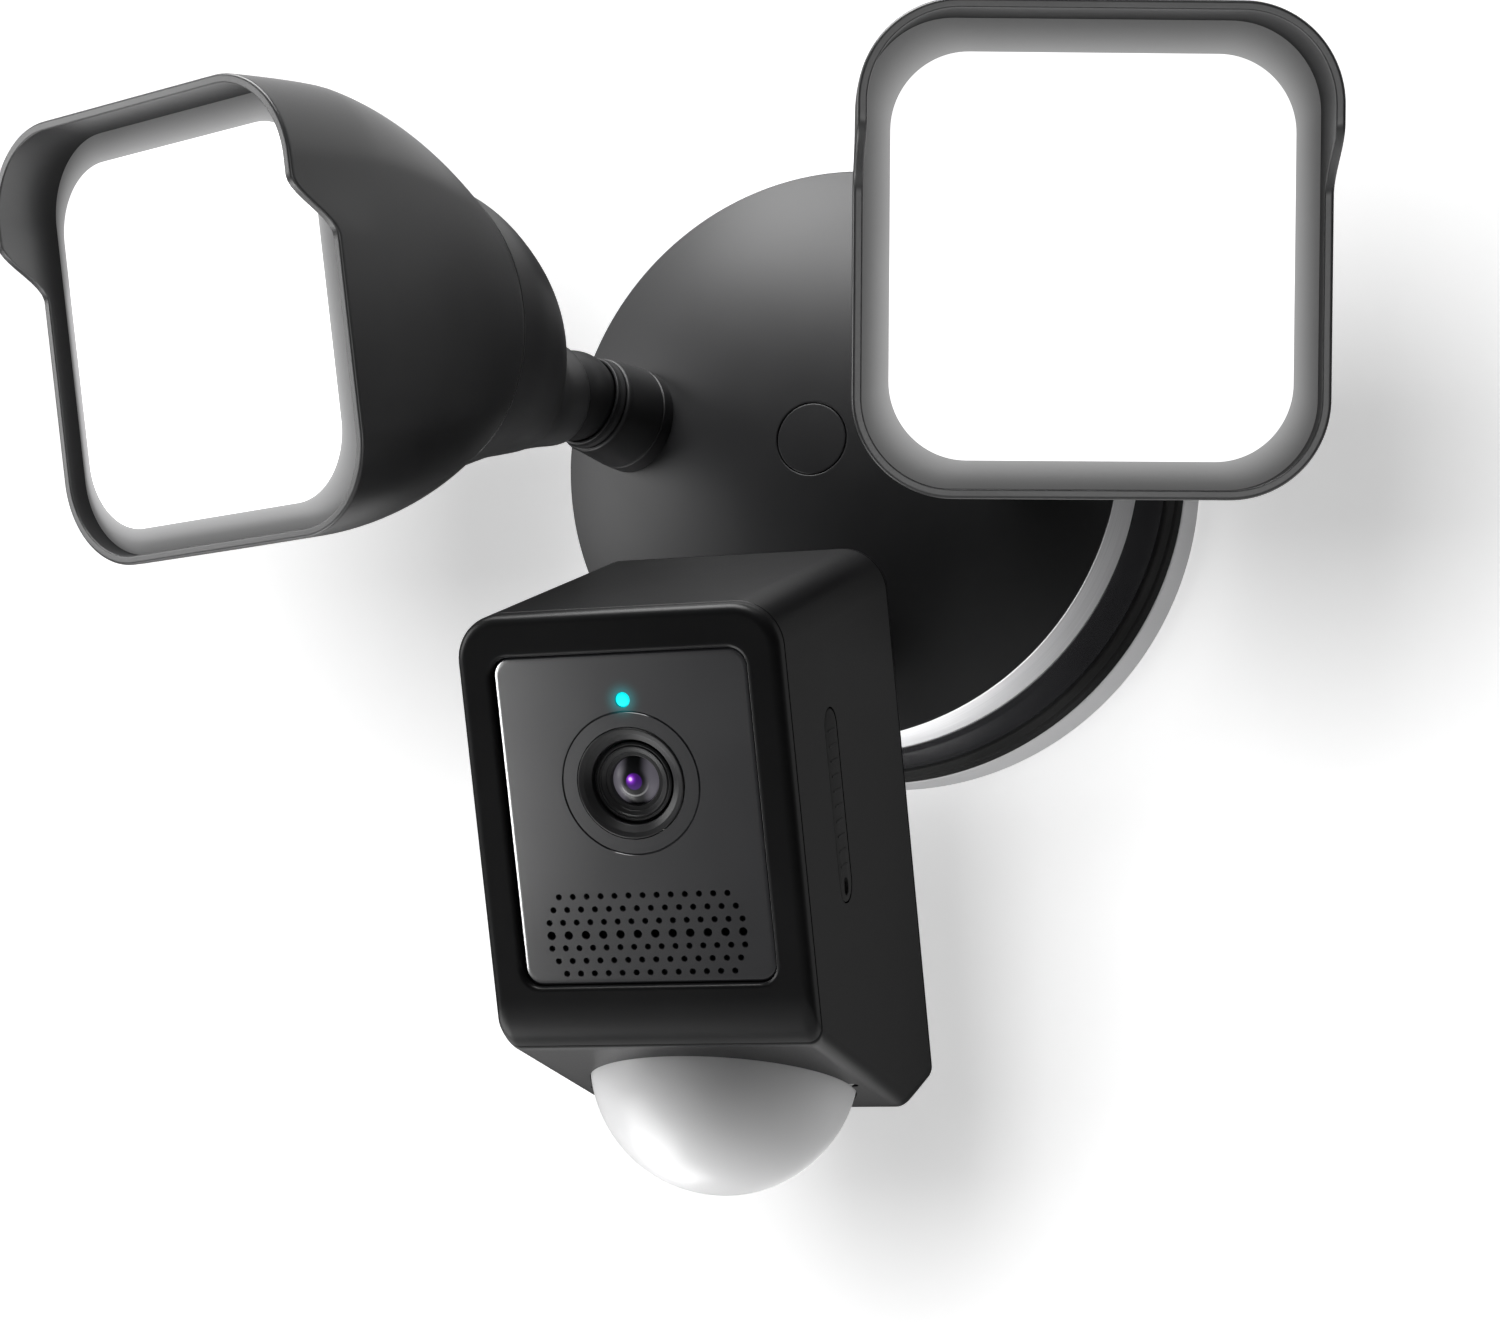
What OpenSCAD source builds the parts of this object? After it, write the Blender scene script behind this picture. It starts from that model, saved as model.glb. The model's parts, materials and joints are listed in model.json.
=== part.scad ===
// Floodlight security camera for an outdoor wall box.
// Two square lamp heads and a camera stand on ball knuckles in front of a round base.
// Origin: centre of the wall plate's back face. +Z is up and -Y points away from the wall.

/* [Base] */
// Radius of the wall plate
plate_r = 71.4; // [71:0.1:73]
// Radius of the front cover at its rim
cover_r = 65; // [64:0.1:65]
// Distance from the wall to the rim of the front cover
cover_out = 51; // [50:0.1:52]
// Height of the front cover's dome above its rim
dome_rise = 19.2; // [18:0.1:20]
// Radius of the wire hole in the wall plate
wire_hole_r = 11.1; // [8:0.1:12]
// Spacing of the two mounting slots
slot_spacing = 88.9; // [85:0.1:90]

/* [Knuckles] */
// Radius of each knuckle ball
ball_r = 10.1; // [10:0.05:10.15]
// Outer radius of the arms at their ends
arm_r = 10.8; // [10.7:0.05:11]
// Radius of the tilt pins
pin_r = 1.5; // [1.2:0.1:1.6]

/* [Lamps] */
// Sideways distance from the middle to a lamp's ball
lamp_x = 53.1; // [52:0.1:54]
// Distance from the wall to a lamp's ball
lamp_out = 80; // [79.5:0.1:81]
// Height of a lamp's ball
lamp_z = 11.3; // [10:0.1:12]
// Angle that each lamp turns outward
lamp_yaw = 21.4; // [20:0.1:23]
// Angle that each lamp looks down
lamp_pitch = 9.9; // [8:0.1:12]
// Angle that each lamp's arm rises
arm_rise = 7.6; // [6:0.1:9]
// Width of a lamp's square front
lamp_w = 90; // [88:0.5:92]
// Distance from the ball to a lamp's front rim
lamp_reach = 110; // [108:0.5:111]
// Length of the hood in front of the rim
hood = 11; // [8:0.5:12]

/* [Camera] */
// Width of the camera housing
cam_w = 66; // [65:0.5:67]
// Depth of the camera housing
cam_depth = 72; // [71:0.5:73]
// Angle that the camera looks down
cam_pitch = 17.14; // [16:0.1:18]
// Radius of the motion sensor's dome
dome_r = 27.4; // [26:0.1:27.6]

/* [Hidden] */
$fn = 64;

wall = 2.2;
run_fit = 0.06;

// Base layers, measured out from the wall
plate_t = 3;
plate_rim_out = 13.7;
tray_out = 24;
band_out = 38;
tray_floor_t = 2.5;
cover_t = 2.5;
cover_lip_out = 46.5;
cover_lip_r = 63;
dome_big_r = (cover_r * cover_r + dome_rise * dome_rise) / (2 * dome_rise);
dome_centre = cover_out + dome_rise - dome_big_r;
tray_r = 69.6;
band_r = 66.6;
seal_r = 71.2;
seal_in_r = 58;
plug_r = 7.9;
plug_hole_r = 8.1;
plug_skirt_r = 7;
hub_boss_r = 10;
hub_web_out = 57;
hub_web_t = 2;
hub_shank_r = 2.4;
hub_head_r = 5.4;
hub_post_r = 7;
hub_post_out = 20;
tray_screw_at = 52;
tray_screw_r = 1.4;
tray_boss_r = 4;
slot_w = 4.8;
slot_len = 12;
wire_hole_up = 34;

// Knuckle: along each arm, +Z leads outward from the ball's centre
gap = 0.3;
seat_r = ball_r + gap;
shank_r = 6;
shank_hole_r = 3;
cup_r = 9.34;
spigot_r = 8.9;
arm_base_r = 11.7;
nut_r = 12.8;
ear_in = 8.4;
ear_out = 10.2;
ear_r = 3.4;
flat_x = ear_in - gap;
lamp_rim = 4.4;
cam_rim = 8.4;
rim_t = 2.6;
stud_r = 5.5;
lamp_arm_reach = 22;
cam_arm_reach = 38.6;
cam_ball_out = 97;
cam_ball_z = -62;
cam_arm_pitch = 20;
cam_flange_r = 16;

// Lamp head: along the neck, +Z leads forward from the ball's centre
lens_up = 15.7;
seam_at = lamp_reach - 63.5;
seam_r = 32.2;
front_up = lens_up + 0.65;
front_half_h = 45.85;
front_corner = 19;
rim_w = 1.9;
neck_end = 5.2;
neck_bore = 9.5;
diffuser_half = lamp_w / 2 - rim_w - 0.7;
diffuser_t = 3;
diffuser_at = lamp_reach - 1.6 - diffuser_t;
led_at = diffuser_at - 12;
sink_at = led_at - 5.2;

// Camera: local +X right, +Y back from the glass, +Z up along the glass
glass_centre = [0, -177.2, -93.8];
glass_w = 52.1;
glass_h = 64.9;
glass_t = 1.6;
cam_top = 41;
cam_corner = 9;
cam_front = -1.5;
bezel_back = 2.2;
part_gap = 0.25;
back_t = 2.4;
chin_r = 11;
chin_slope = 28.4;
chin_drop = -43.7;
heel_u = 53;
back_low = -72;
low_corner = 3;
lens_w = 7;
light_w = 23.3;
dome_at = [0, 36, -57.7];
plug_u = 25.2;
plug_mid = -3.7;
plug_len = 39.2;
plug_w = 8;
button_x = 24;
button_w = -14;
button_r = 1.2;

// ---- Frames ----

// Local X right, Y up, Z out from the wall
module wall_frame() rotate([90, 0, 0]) children();

// At a lamp's ball, turned outward; side is -1 for the left lamp and 1 for the right lamp
module lamp_frame(side) translate([side * lamp_x, -lamp_out, lamp_z]) rotate([0, 0, side * lamp_yaw]) children();

module lamp_arm_frame(side) lamp_frame(side) rotate([90 - arm_rise, 0, 0]) children();

module lamp_head_frame(side) lamp_frame(side) rotate([90 + lamp_pitch, 0, 0]) children();

module cam_ball_frame(pitch) translate([0, -cam_ball_out, cam_ball_z]) rotate([90 + pitch, 0, 0]) children();

module cam_frame() translate(glass_centre) rotate([cam_pitch, 0, 0]) children();

// ---- Shared shapes ----

module ring(r_out, r_in, h) difference() {
    cylinder(r = r_out, h = h);
    translate([0, 0, -1]) cylinder(r = r_in, h = h + 2);
}

// Rectangle with round corners, drawn from two bars and four discs so its corners stay true arcs
module round_rect(w, h, r) {
    square([w - 2 * r, h], center = true);
    square([w, h - 2 * r], center = true);
    for (x = [-1, 1], y = [-1, 1]) translate([x * (w / 2 - r), y * (h / 2 - r)]) circle(r = r);
}

module pill(len, w) {
    square([w, len - w], center = true);
    for (y = [-1, 1]) translate([0, y * (len - w) / 2]) circle(r = w / 2);
}

// Drawing plane upright, facing forward; extruded toward the wall from y0 to y1
module deep(y0, y1) translate([0, y1, 0]) rotate([90, 0, 0]) linear_extrude(y1 - y0) children();

// Drawing plane seen from the side, as back distance and height; extruded across from -w/2 to w/2
module across(w) translate([-w / 2, 0, 0]) rotate([90, 0, 90]) linear_extrude(w) children();

// Points of one rounded-square ring at height z: four quarter arcs joined by straight sides
corner_steps = 7;
side_steps = 7;
function corner_point(half_x, half_y, r, up, z, q, i) = let (
        a = 90 * q + 90 * i / corner_steps,
        sx = (q % 4 == 0 || q % 4 == 3) ? 1 : -1,
        sy = q % 4 < 2 ? 1 : -1
    )
    [sx * (half_x - r) + r * cos(a), up + sy * (half_y - r) + r * sin(a), z];

function ring_points(half_x, half_y, r, up, z) = [
    for (q = [0:3]) each [
        for (i = [0:corner_steps]) corner_point(half_x, half_y, r, up, z, q, i),
        if (half_x - r > 1) for (j = [1:side_steps - 1]) let (
                from = corner_point(half_x, half_y, r, up, z, q, corner_steps),
                to = corner_point(half_x, half_y, r, up, z, q + 1, 0)
            )
            from + (to - from) * j / side_steps
    ]
];

// Closed wall between an outer and an inner stack of rings that run from back to front
module loft_shell(outer, inner) {
    n = len(outer[0]);
    m = len(outer);
    points = [for (ring = outer) each ring, for (ring = inner) each ring];
    inner_at = n * m;
    faces = [
        for (k = [0:m - 2], i = [0:n - 1])
            let (j = (i + 1) % n)
            each [
                [k * n + i, (k + 1) * n + i, (k + 1) * n + j],
                [k * n + i, (k + 1) * n + j, k * n + j],
                [inner_at + k * n + i, inner_at + (k + 1) * n + j, inner_at + (k + 1) * n + i],
                [inner_at + k * n + i, inner_at + k * n + j, inner_at + (k + 1) * n + j]
            ],
        for (i = [0:n - 1])
            let (j = (i + 1) % n, top = (m - 1) * n)
            each [
                [i, j, inner_at + j],
                [i, inner_at + j, inner_at + i],
                [top + i, inner_at + top + j, top + j],
                [top + i, inner_at + top + i, inner_at + top + j]
            ]
    ];
    polyhedron(points = points, faces = faces);
}

// ---- Base ----

module mounting_plate() color("gainsboro") wall_frame() difference() {
    union() {
        cylinder(r = plate_r, h = plate_t);
        ring(plate_r, plate_r - 5, plate_rim_out);
        cylinder(r = hub_post_r, h = hub_post_out);
    }
    translate([0, 0, plate_t + 4]) cylinder(r = hub_shank_r + 0.1, h = hub_post_out);
    translate([0, wire_hole_up, -1]) cylinder(r = wire_hole_r, h = plate_t + 2);
    for (x = [-1, 1]) translate([x * slot_spacing / 2, 0, -1])
        linear_extrude(plate_t + 2) rotate(90) pill(slot_len, slot_w);
}

module seal_ring() color("dimgray") wall_frame() rotate_extrude() polygon([
    [seal_in_r, plate_rim_out], [seal_r, plate_rim_out], [seal_r, 19.4], [seal_r - 0.8, 20],
    [seal_r - 0.8, tray_out], [seal_in_r, tray_out]
]);

module base_tray() color("#1a1a1c") wall_frame() difference() {
    union() {
        rotate_extrude() polygon([
            [0, tray_out], [tray_r, tray_out], [tray_r - 0.5, tray_out + 3.5], [band_r + 0.6, band_out - 4],
            [band_r, band_out], [cover_lip_r + 0.1, band_out], [cover_lip_r + 0.1, tray_out + tray_floor_t],
            [0, tray_out + tray_floor_t]
        ]);
        for (x = [-38, 38], y = [-18, 18]) translate([x, y, tray_out]) cylinder(r = 3, h = 6);
    }
    translate([0, 0, tray_out - 1]) cylinder(r = hub_shank_r + 0.8, h = 6);
    for (a = [45:90:315]) rotate(a) translate([tray_screw_at, 0, tray_out - 1])
        cylinder(r = tray_screw_r + 0.2, h = 6);
    translate([0, wire_hole_up - 14, tray_out - 1]) cylinder(r = 5, h = 6);
}

module trim_band() color("silver") wall_frame() rotate_extrude() polygon([
    [cover_lip_r + 0.1, band_out], [band_r, band_out], [cover_r, cover_out - 1], [cover_lip_r + 0.1, cover_out - 1]
]);

module front_cover() color("#232325") wall_frame() difference() {
    union() {
        difference() {
            intersection() {
                translate([0, 0, dome_centre]) sphere(r = dome_big_r);
                union() {
                    translate([0, 0, cover_out - 1]) cylinder(r = cover_r, h = dome_rise + 2);
                    translate([0, 0, cover_lip_out]) cylinder(r = cover_lip_r, h = 6);
                }
            }
            intersection() {
                translate([0, 0, dome_centre]) sphere(r = dome_big_r - cover_t);
                translate([0, 0, cover_lip_out - 1]) cylinder(r = cover_lip_r - cover_t, h = 60);
            }
        }
        intersection() {
            translate([0, 0, dome_centre]) sphere(r = dome_big_r - cover_t + 0.5);
            union() {
                translate([0, 0, hub_web_out]) cylinder(r = hub_boss_r, h = 20);
                translate([0, 0, tray_out + 12]) cylinder(r = 5, h = 30);
                for (a = [45:90:315]) rotate(a) translate([tray_screw_at, 0, tray_out + tray_floor_t])
                    cylinder(r = tray_boss_r, h = 60);
            }
        }
    }
    translate([0, 0, hub_web_out + hub_web_t]) cylinder(r = plug_hole_r, h = 30);
    translate([0, 0, tray_out]) cylinder(r = hub_shank_r + 0.3, h = 60);
    for (a = [45:90:315]) rotate(a) translate([tray_screw_at, 0, tray_out])
        cylinder(r = tray_screw_r + 0.05, h = 18);
    rotate([-90, 0, 0]) {
        for (side = [-1, 1]) lamp_arm_frame(side) translate([0, 0, -60]) cylinder(r = spigot_r + 0.1, h = 50);
        cam_ball_frame(cam_arm_pitch) translate([0, 0, -70]) cylinder(r = spigot_r + 0.1, h = 50);
    }
}

module cover_plug() color("#2a2a2c") wall_frame() difference() {
    intersection() {
        translate([0, 0, dome_centre]) sphere(r = dome_big_r);
        union() {
            translate([0, 0, cover_out + dome_rise - 2.5]) cylinder(r = plug_r, h = 4);
            translate([0, 0, cover_out + dome_rise - 6]) cylinder(r = plug_skirt_r, h = 6);
        }
    }
    translate([0, 0, cover_out + dome_rise - 7]) cylinder(r = plug_skirt_r - 1.4, h = 4);
}

module hub_screw() color("lightgray") wall_frame() difference() {
    union() {
        translate([0, 0, plate_t + 5]) cylinder(r = hub_shank_r, h = hub_web_out + hub_web_t - plate_t - 5);
        translate([0, 0, hub_web_out + hub_web_t]) cylinder(r = hub_head_r, h = 3.2);
    }
    translate([0, 0, hub_web_out + hub_web_t + 1.6]) linear_extrude(3) {
        square([7, 1.2], center = true);
        square([1.2, 7], center = true);
    }
}

module terminal_block() color("ivory") wall_frame() translate([0, -37, tray_out - 12]) difference() {
    translate([-18, -6, 0]) cube([36, 12, 12]);
    for (x = [-12, 0, 12]) {
        translate([x, 0, -1]) cylinder(r = 2.2, h = 5);
        translate([x - 2, -7, 5]) cube([4, 8, 4]);
    }
}

module power_board() color("darkgreen") wall_frame() translate([0, 0, tray_out + 6]) difference() {
    translate([-43, -23, 0]) cube([86, 46, 1.6]);
    translate([0, 0, -1]) cylinder(r = 6.5, h = 4);
}

module power_components() wall_frame() translate([0, 0, tray_out + 7.6]) {
    color("goldenrod") translate([-38, -20, 0]) cube([22, 20, 10]);
    color("black") for (y = [-14, 14]) translate([24, y, 0]) cylinder(r = 5, h = 14);
    color("royalblue") translate([10, -6, 0]) cube([9, 12, 10]);
    color("dimgray") translate([32, -8, 0]) cube([8, 16, 6]);
}

module siren() color("black") wall_frame() translate([0, 40, tray_out + tray_floor_t]) difference() {
    cylinder(r = 15, h = 12);
    translate([0, 0, 9]) cylinder(r = 2, h = 4);
    translate([0, 0, 2]) cylinder(r = 13, h = 7);
}

module tray_screws() color("silver") wall_frame() for (a = [45:90:315]) rotate(a) {
    translate([tray_screw_at, 0, tray_out]) cylinder(r = tray_screw_r, h = 14);
    translate([tray_screw_at, 0, tray_out - 2.2]) cylinder(r = 2.7, h = 2.2);
}

// ---- Knuckles ----

// Hollow arm between the cover and the swivel cup, cut to sit on the dome
module arm_stub(reach, rim, base_r) {
    end = -(rim + rim_t + 0.25);
    rotate_extrude() difference() {
        polygon([
            [0, -reach - 9], [spigot_r, -reach - 9], [spigot_r, -reach], [base_r, -reach],
            [base_r, 1 - reach], [arm_base_r, 5 - reach], [arm_r, end - 1], [arm_r - 0.6, end], [0, end]
        ]);
        translate([-1, -reach - 10]) square([shank_r + run_fit + 1, reach + 10]);
        translate([-1, -rim - 8.3]) square([cup_r + run_fit + 1, 12]);
    }
}

module lamp_arm_stub(side) color("#1d1d1f") {
    difference() {
        lamp_arm_frame(side) arm_stub(lamp_arm_reach + 3, lamp_rim, arm_base_r);
        difference() {
            wall_frame() translate([0, 0, dome_centre]) sphere(r = dome_big_r + 0.05);
            lamp_arm_frame(side) translate([0, 0, -70]) cylinder(r = spigot_r, h = 60);
        }
    }
}

module left_arm_stub() lamp_arm_stub(-1);

module right_arm_stub() lamp_arm_stub(1);

module camera_arm_stub() color("#1d1d1f") difference() {
    cam_ball_frame(cam_arm_pitch) arm_stub(cam_arm_reach + 3, cam_rim, cam_flange_r);
    difference() {
        wall_frame() translate([0, 0, dome_centre]) sphere(r = dome_big_r + 0.05);
        cam_ball_frame(cam_arm_pitch) translate([0, 0, -80]) cylinder(r = spigot_r, h = 70);
    }
}

module arm_nut(reach) translate([0, 0, -reach - 9.6]) difference() {
    cylinder(r = nut_r, h = 4, $fn = 6);
    translate([0, 0, -1]) cylinder(r = spigot_r + 0.05, h = 6);
}

module arm_nuts() color("gray") {
    for (side = [-1, 1]) lamp_arm_frame(side) arm_nut(lamp_arm_reach);
    cam_ball_frame(cam_arm_pitch) arm_nut(cam_arm_reach);
}

// Cup that turns in the arm: seat for the ball, two pin ears and a snap shank
module swivel_cup(reach, rim) difference() {
    union() {
        translate([0, 0, -rim - rim_t]) cylinder(r = arm_r, h = rim_t);
        translate([0, 0, -rim - 8]) cylinder(r = cup_r, h = 7);
        translate([0, 0, -reach - 16]) cylinder(r = shank_r, h = reach + 16 - rim - 7);
        translate([0, 0, -reach - 14]) cylinder(r = shank_r + 1.4, h = 1.6);
        intersection() {
            difference() {
                translate([0, 0, -rim - 1]) cylinder(r = arm_r, h = rim + 1 + ear_r);
                cube([2 * ear_in, 40, 40], center = true);
            }
            union() {
                rotate([0, 90, 0]) cylinder(r = ear_r, h = 2 * ear_out, center = true);
                translate([-ear_out, -ear_r, -rim - 1]) cube([2 * ear_out, 2 * ear_r, rim + 1]);
            }
        }
    }
    sphere(r = seat_r);
    rotate([0, 90, 0]) cylinder(r = pin_r + run_fit, h = 30, center = true);
    translate([0, 0, -reach - 20]) cylinder(r = shank_hole_r, h = reach + 20);
}

module left_swivel_cup() color("#151517") lamp_arm_frame(-1) swivel_cup(lamp_arm_reach, lamp_rim);

module right_swivel_cup() color("#151517") lamp_arm_frame(1) swivel_cup(lamp_arm_reach, lamp_rim);

// The camera's cup carries its pin upright
module camera_swivel_cup() color("#151517") cam_ball_frame(cam_arm_pitch) rotate(90)
    swivel_cup(cam_arm_reach, cam_rim);

// Ball with flats for the ears and a hollow stud that the head turns on
module lamp_ball(side) color("#101011") lamp_head_frame(side) difference() {
    union() {
        intersection() {
            sphere(r = ball_r);
            cube([2 * flat_x, 30, 30], center = true);
        }
        cylinder(r = stud_r, h = 24);
        translate([0, 0, 22]) cylinder(r = stud_r + 1.6, h = 2);
    }
    rotate([0, 90, 0]) cylinder(r = pin_r + run_fit, h = 30, center = true);
    translate([0, 0, pin_r + 1.5]) cylinder(r = 3, h = 30);
}

module left_ball() lamp_ball(-1);

module right_ball() lamp_ball(1);

module tilt_pin(side) color("silver") lamp_head_frame(side) rotate([0, 90, 0])
    cylinder(r = pin_r, h = 2 * ear_out, center = true);

module left_tilt_pin() tilt_pin(-1);

module right_tilt_pin() tilt_pin(1);

// ---- Lamp heads ----

module neck_socket(side) color("#1d1d1f") lamp_head_frame(side) translate([0, 0, 11]) difference() {
    cylinder(r = neck_bore - 0.5, h = 10.6);
    translate([0, 0, -1]) cylinder(r = stud_r + run_fit, h = 13);
}

module left_neck_socket() neck_socket(-1);

module right_neck_socket() neck_socket(1);

// Rear bell's outline above and below the neck's axis: distance from the ball, top, bottom
bell_outline = [
    [neck_end, 10.6, -9.6], [neck_end + 1.3, 11.9, -10.9], [12, 12.2, -11.2], [15, 13.7, -11.4],
    [18, 17.6, -11.7], [21, 25.8, -12.2], [25, 33.8, -12.6], [31, 40, -13.2], [38, 44.6, -14.6],
    [seam_at, lens_up + seam_r, lens_up - seam_r]
];

circle_steps = 40;
function circle_ring(r, up, z) = [
    for (i = [0:circle_steps - 1]) let (a = 360 * i / circle_steps) [r * cos(a), up + r * sin(a), z]
];

module rear_bell(side) color("#1b1b1d") lamp_head_frame(side) loft_shell(
    [for (s = bell_outline) circle_ring((s[1] - s[2]) / 2, (s[1] + s[2]) / 2, s[0])],
    [for (s = bell_outline)
        let (r = max((s[1] - s[2]) / 2 - wall, neck_bore))
        circle_ring(r, r > neck_bore ? (s[1] + s[2]) / 2 : 0, s[0])]
);

module left_rear_bell() rear_bell(-1);

module right_rear_bell() rear_bell(1);

// Share of the way from the seam's circle to the square front, from 0 to 1, full and round near the front
front_steps = 8;
function front_share(t) = 1 - pow(1 - t, 1.7);

// Height above the lens centre at which the hood starts, and where it has its full length
hood_low = 12;
hood_high = 24;

function hood_rise(y) = let (s = max(0, min(1, (y - lens_up - hood_low) / (hood_high - hood_low))))
    hood * s * s * (3 - 2 * s);

// One ring of the housing's wall, drawn in by `inset`; the seam's end is a square with nearly full corners
function front_ring(t, inset) = let (
        s = front_share(t),
        r = seam_r - 1.5 + s * (front_corner - seam_r + 1.5) - inset,
        half_x = seam_r + s * (lamp_w / 2 - seam_r) - inset,
        half_y = seam_r + s * (front_half_h - seam_r) - inset,
        up = lens_up + s * (front_up - lens_up),
        flat = ring_points(half_x, half_y, r, up, seam_at + t * (lamp_reach - seam_at))
    )
    t < 1 ? flat : [for (p = flat) [p[0], p[1], lamp_reach + hood_rise(p[1])]];

module front_housing(side) color("#1b1b1d") lamp_head_frame(side) loft_shell(
    [for (k = [0:front_steps]) front_ring(k / front_steps, 0)],
    [for (k = [0:front_steps]) front_ring(k / front_steps, k < front_steps - 1 ? wall : rim_w)]
);

module left_front_housing() front_housing(-1);

module right_front_housing() front_housing(1);

module diffuser(side) color("white") lamp_head_frame(side) translate([0, front_up, diffuser_at])
    linear_extrude(diffuser_t) round_rect(2 * diffuser_half, 2 * diffuser_half + 1.7, front_corner - rim_w - 0.2);

module left_diffuser() diffuser(-1);

module right_diffuser() diffuser(1);

module gasket(side) color("black") lamp_head_frame(side) translate([0, front_up, diffuser_at - 1.6])
    linear_extrude(1.6) difference() {
        round_rect(2 * diffuser_half - 1, 2 * diffuser_half + 0.7, front_corner - rim_w - 0.6);
        round_rect(2 * diffuser_half - 8, 2 * diffuser_half - 6.3, front_corner - rim_w - 4);
    }

module left_gasket() gasket(-1);

module right_gasket() gasket(1);

board_half = 34;
board_screw_at = 30;
led_pitch = 10;

module led_board(side) lamp_head_frame(side) translate([0, lens_up, led_at]) {
    color("white") difference() {
        translate([-board_half, -board_half, 0]) cube([2 * board_half, 2 * board_half, 1.6]);
        for (x = [-1, 1], y = [-1, 1]) translate([x * board_screw_at, y * board_screw_at, -1])
            cylinder(r = 1.6, h = 4);
    }
    color("khaki") for (x = [-2.5:2.5], y = [-2.5:2.5])
        translate([x * led_pitch - 1.4, y * led_pitch - 1.4, 1.5]) cube([2.8, 2.8, 0.9]);
}

module left_led_board() led_board(-1);

module right_led_board() led_board(1);

module heat_sink(side) color("lightgray") lamp_head_frame(side) translate([0, lens_up, sink_at]) difference() {
    union() {
        translate([-board_half, -board_half, 0]) cube([2 * board_half, 2 * board_half, 5.2]);
        intersection() {
            translate([0, 0, -20]) cylinder(r = 29, h = 20);
            for (x = [-24:6:24]) translate([x - 0.9, -30, -20]) cube([1.8, 60, 21]);
        }
    }
    for (x = [-1, 1], y = [-1, 1]) translate([x * board_screw_at, y * board_screw_at, -1])
        cylinder(r = 1.5, h = 10);
}

module left_heat_sink() heat_sink(-1);

module right_heat_sink() heat_sink(1);

module board_screws(side) color("silver") lamp_head_frame(side) translate([0, lens_up, led_at])
    for (x = [-1, 1], y = [-1, 1]) translate([x * board_screw_at, y * board_screw_at, 0]) {
        translate([0, 0, -5]) cylinder(r = 1.4, h = 7);
        translate([0, 0, 1.6]) cylinder(r = 2.7, h = 1.8);
    }

module left_board_screws() board_screws(-1);

module right_board_screws() board_screws(1);

// ---- Camera ----

// Side outline drawn in by `inset`: flat front, round chin, sloped underside, upright back
function chin_outline(inset) = let (
        r = chin_r - inset,
        front = cam_front + inset,
        tangent = chin_r * tan((90 - chin_slope) / 2),
        centre = [cam_front + chin_r, chin_drop + tangent]
    ) [
        [cam_depth, cam_top - inset],
        [front, cam_top - inset],
        for (a = [180:10:180 + 90 - chin_slope]) centre + r * [cos(a), sin(a)],
        [heel_u, chin_drop - (heel_u - cam_front) * tan(chin_slope) + inset / cos(chin_slope)],
        [70 - inset, back_low + inset],
        [cam_depth, back_low + inset + 2]
    ];

module cam_solid(inset) intersection() {
    deep(-5, cam_depth + 5) translate([0, (cam_top - 90) / 2])
        round_rect(cam_w - 2 * inset, 90 + cam_top - 2 * inset, cam_corner - inset);
    across(cam_w) polygon(chin_outline(inset));
    translate([0, cam_front, chin_drop]) rotate([-chin_slope, 0, 0])
        deep(-60, 140) translate([0, 75 + inset]) round_rect(cam_w - 2 * inset, 150, low_corner - inset / 2);
}

module slab(y0, y1) translate([-60, y0, -100]) cube([120, y1 - y0, 200]);

module camera_shell() color("#1c1c1e") cam_frame() difference() {
    intersection() {
        cam_solid(0);
        slab(bezel_back + part_gap, cam_depth - back_t);
    }
    cam_solid(wall);
    translate(dome_at) sphere(r = dome_r + 0.15);
    translate([cam_w / 2 - 4, plug_u, plug_mid]) rotate([90, 0, 90]) linear_extrude(8) pill(plug_len, plug_w);
}

module camera_bezel() color("#202022") cam_frame() difference() {
    intersection() {
        cam_solid(0);
        slab(cam_front - 1, bezel_back);
    }
    deep(cam_front - 1, bezel_back + 1) round_rect(glass_w + 0.4, glass_h + 0.4, 3.7);
}

module camera_back() color("#1c1c1e") cam_frame() difference() {
    intersection() {
        cam_solid(0);
        slab(cam_depth - back_t, cam_depth + 1);
    }
    translate([0, cam_depth + 5, 6.75]) rotate([90, 0, 0]) cylinder(r = 6, h = 12);
}

// Speaker holes: rows from top to bottom, each with its count, step and radius
grille_rows = [[13, 2.9, 0.5], [14, 2.9, 0.5], [15, 2.85, 0.5], [12, 3.6, 0.75], [15, 2.85, 0.5],
    [14, 2.9, 0.5], [13, 2.9, 0.5]];
grille_top = -15;
grille_step = 2.55;

module front_glass() color("#08080a") cam_frame() deep(0, glass_t) difference() {
    round_rect(glass_w, glass_h, 3.5);
    translate([0, lens_w]) circle(r = 11);
    translate([0, light_w]) circle(r = 1.5);
    for (k = [0:len(grille_rows) - 1]) let (row = grille_rows[k])
        for (i = [0:row[0] - 1])
            translate([(i - (row[0] - 1) / 2) * row[1], grille_top - k * grille_step]) circle(r = row[2], $fn = 16);
}

module lens_housing() color("#0c0c0d") cam_frame() translate([0, 0, lens_w]) rotate([-90, 0, 0])
    rotate_extrude() polygon([[7.9, 4], [9.6, 0.2], [10.2, -0.5], [10.9, -0.5], [10.9, 1.6], [12.5, 1.6], [12.5, 4]]);

module lens_barrel() color("#161618") cam_frame() translate([0, 0, lens_w]) rotate([-90, 0, 0])
    rotate_extrude() polygon([[4.8, 1.8], [6.6, 1], [7.8, 1.4], [7.8, 16], [3.9, 16], [3.9, 6], [4.8, 4]]);

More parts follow.
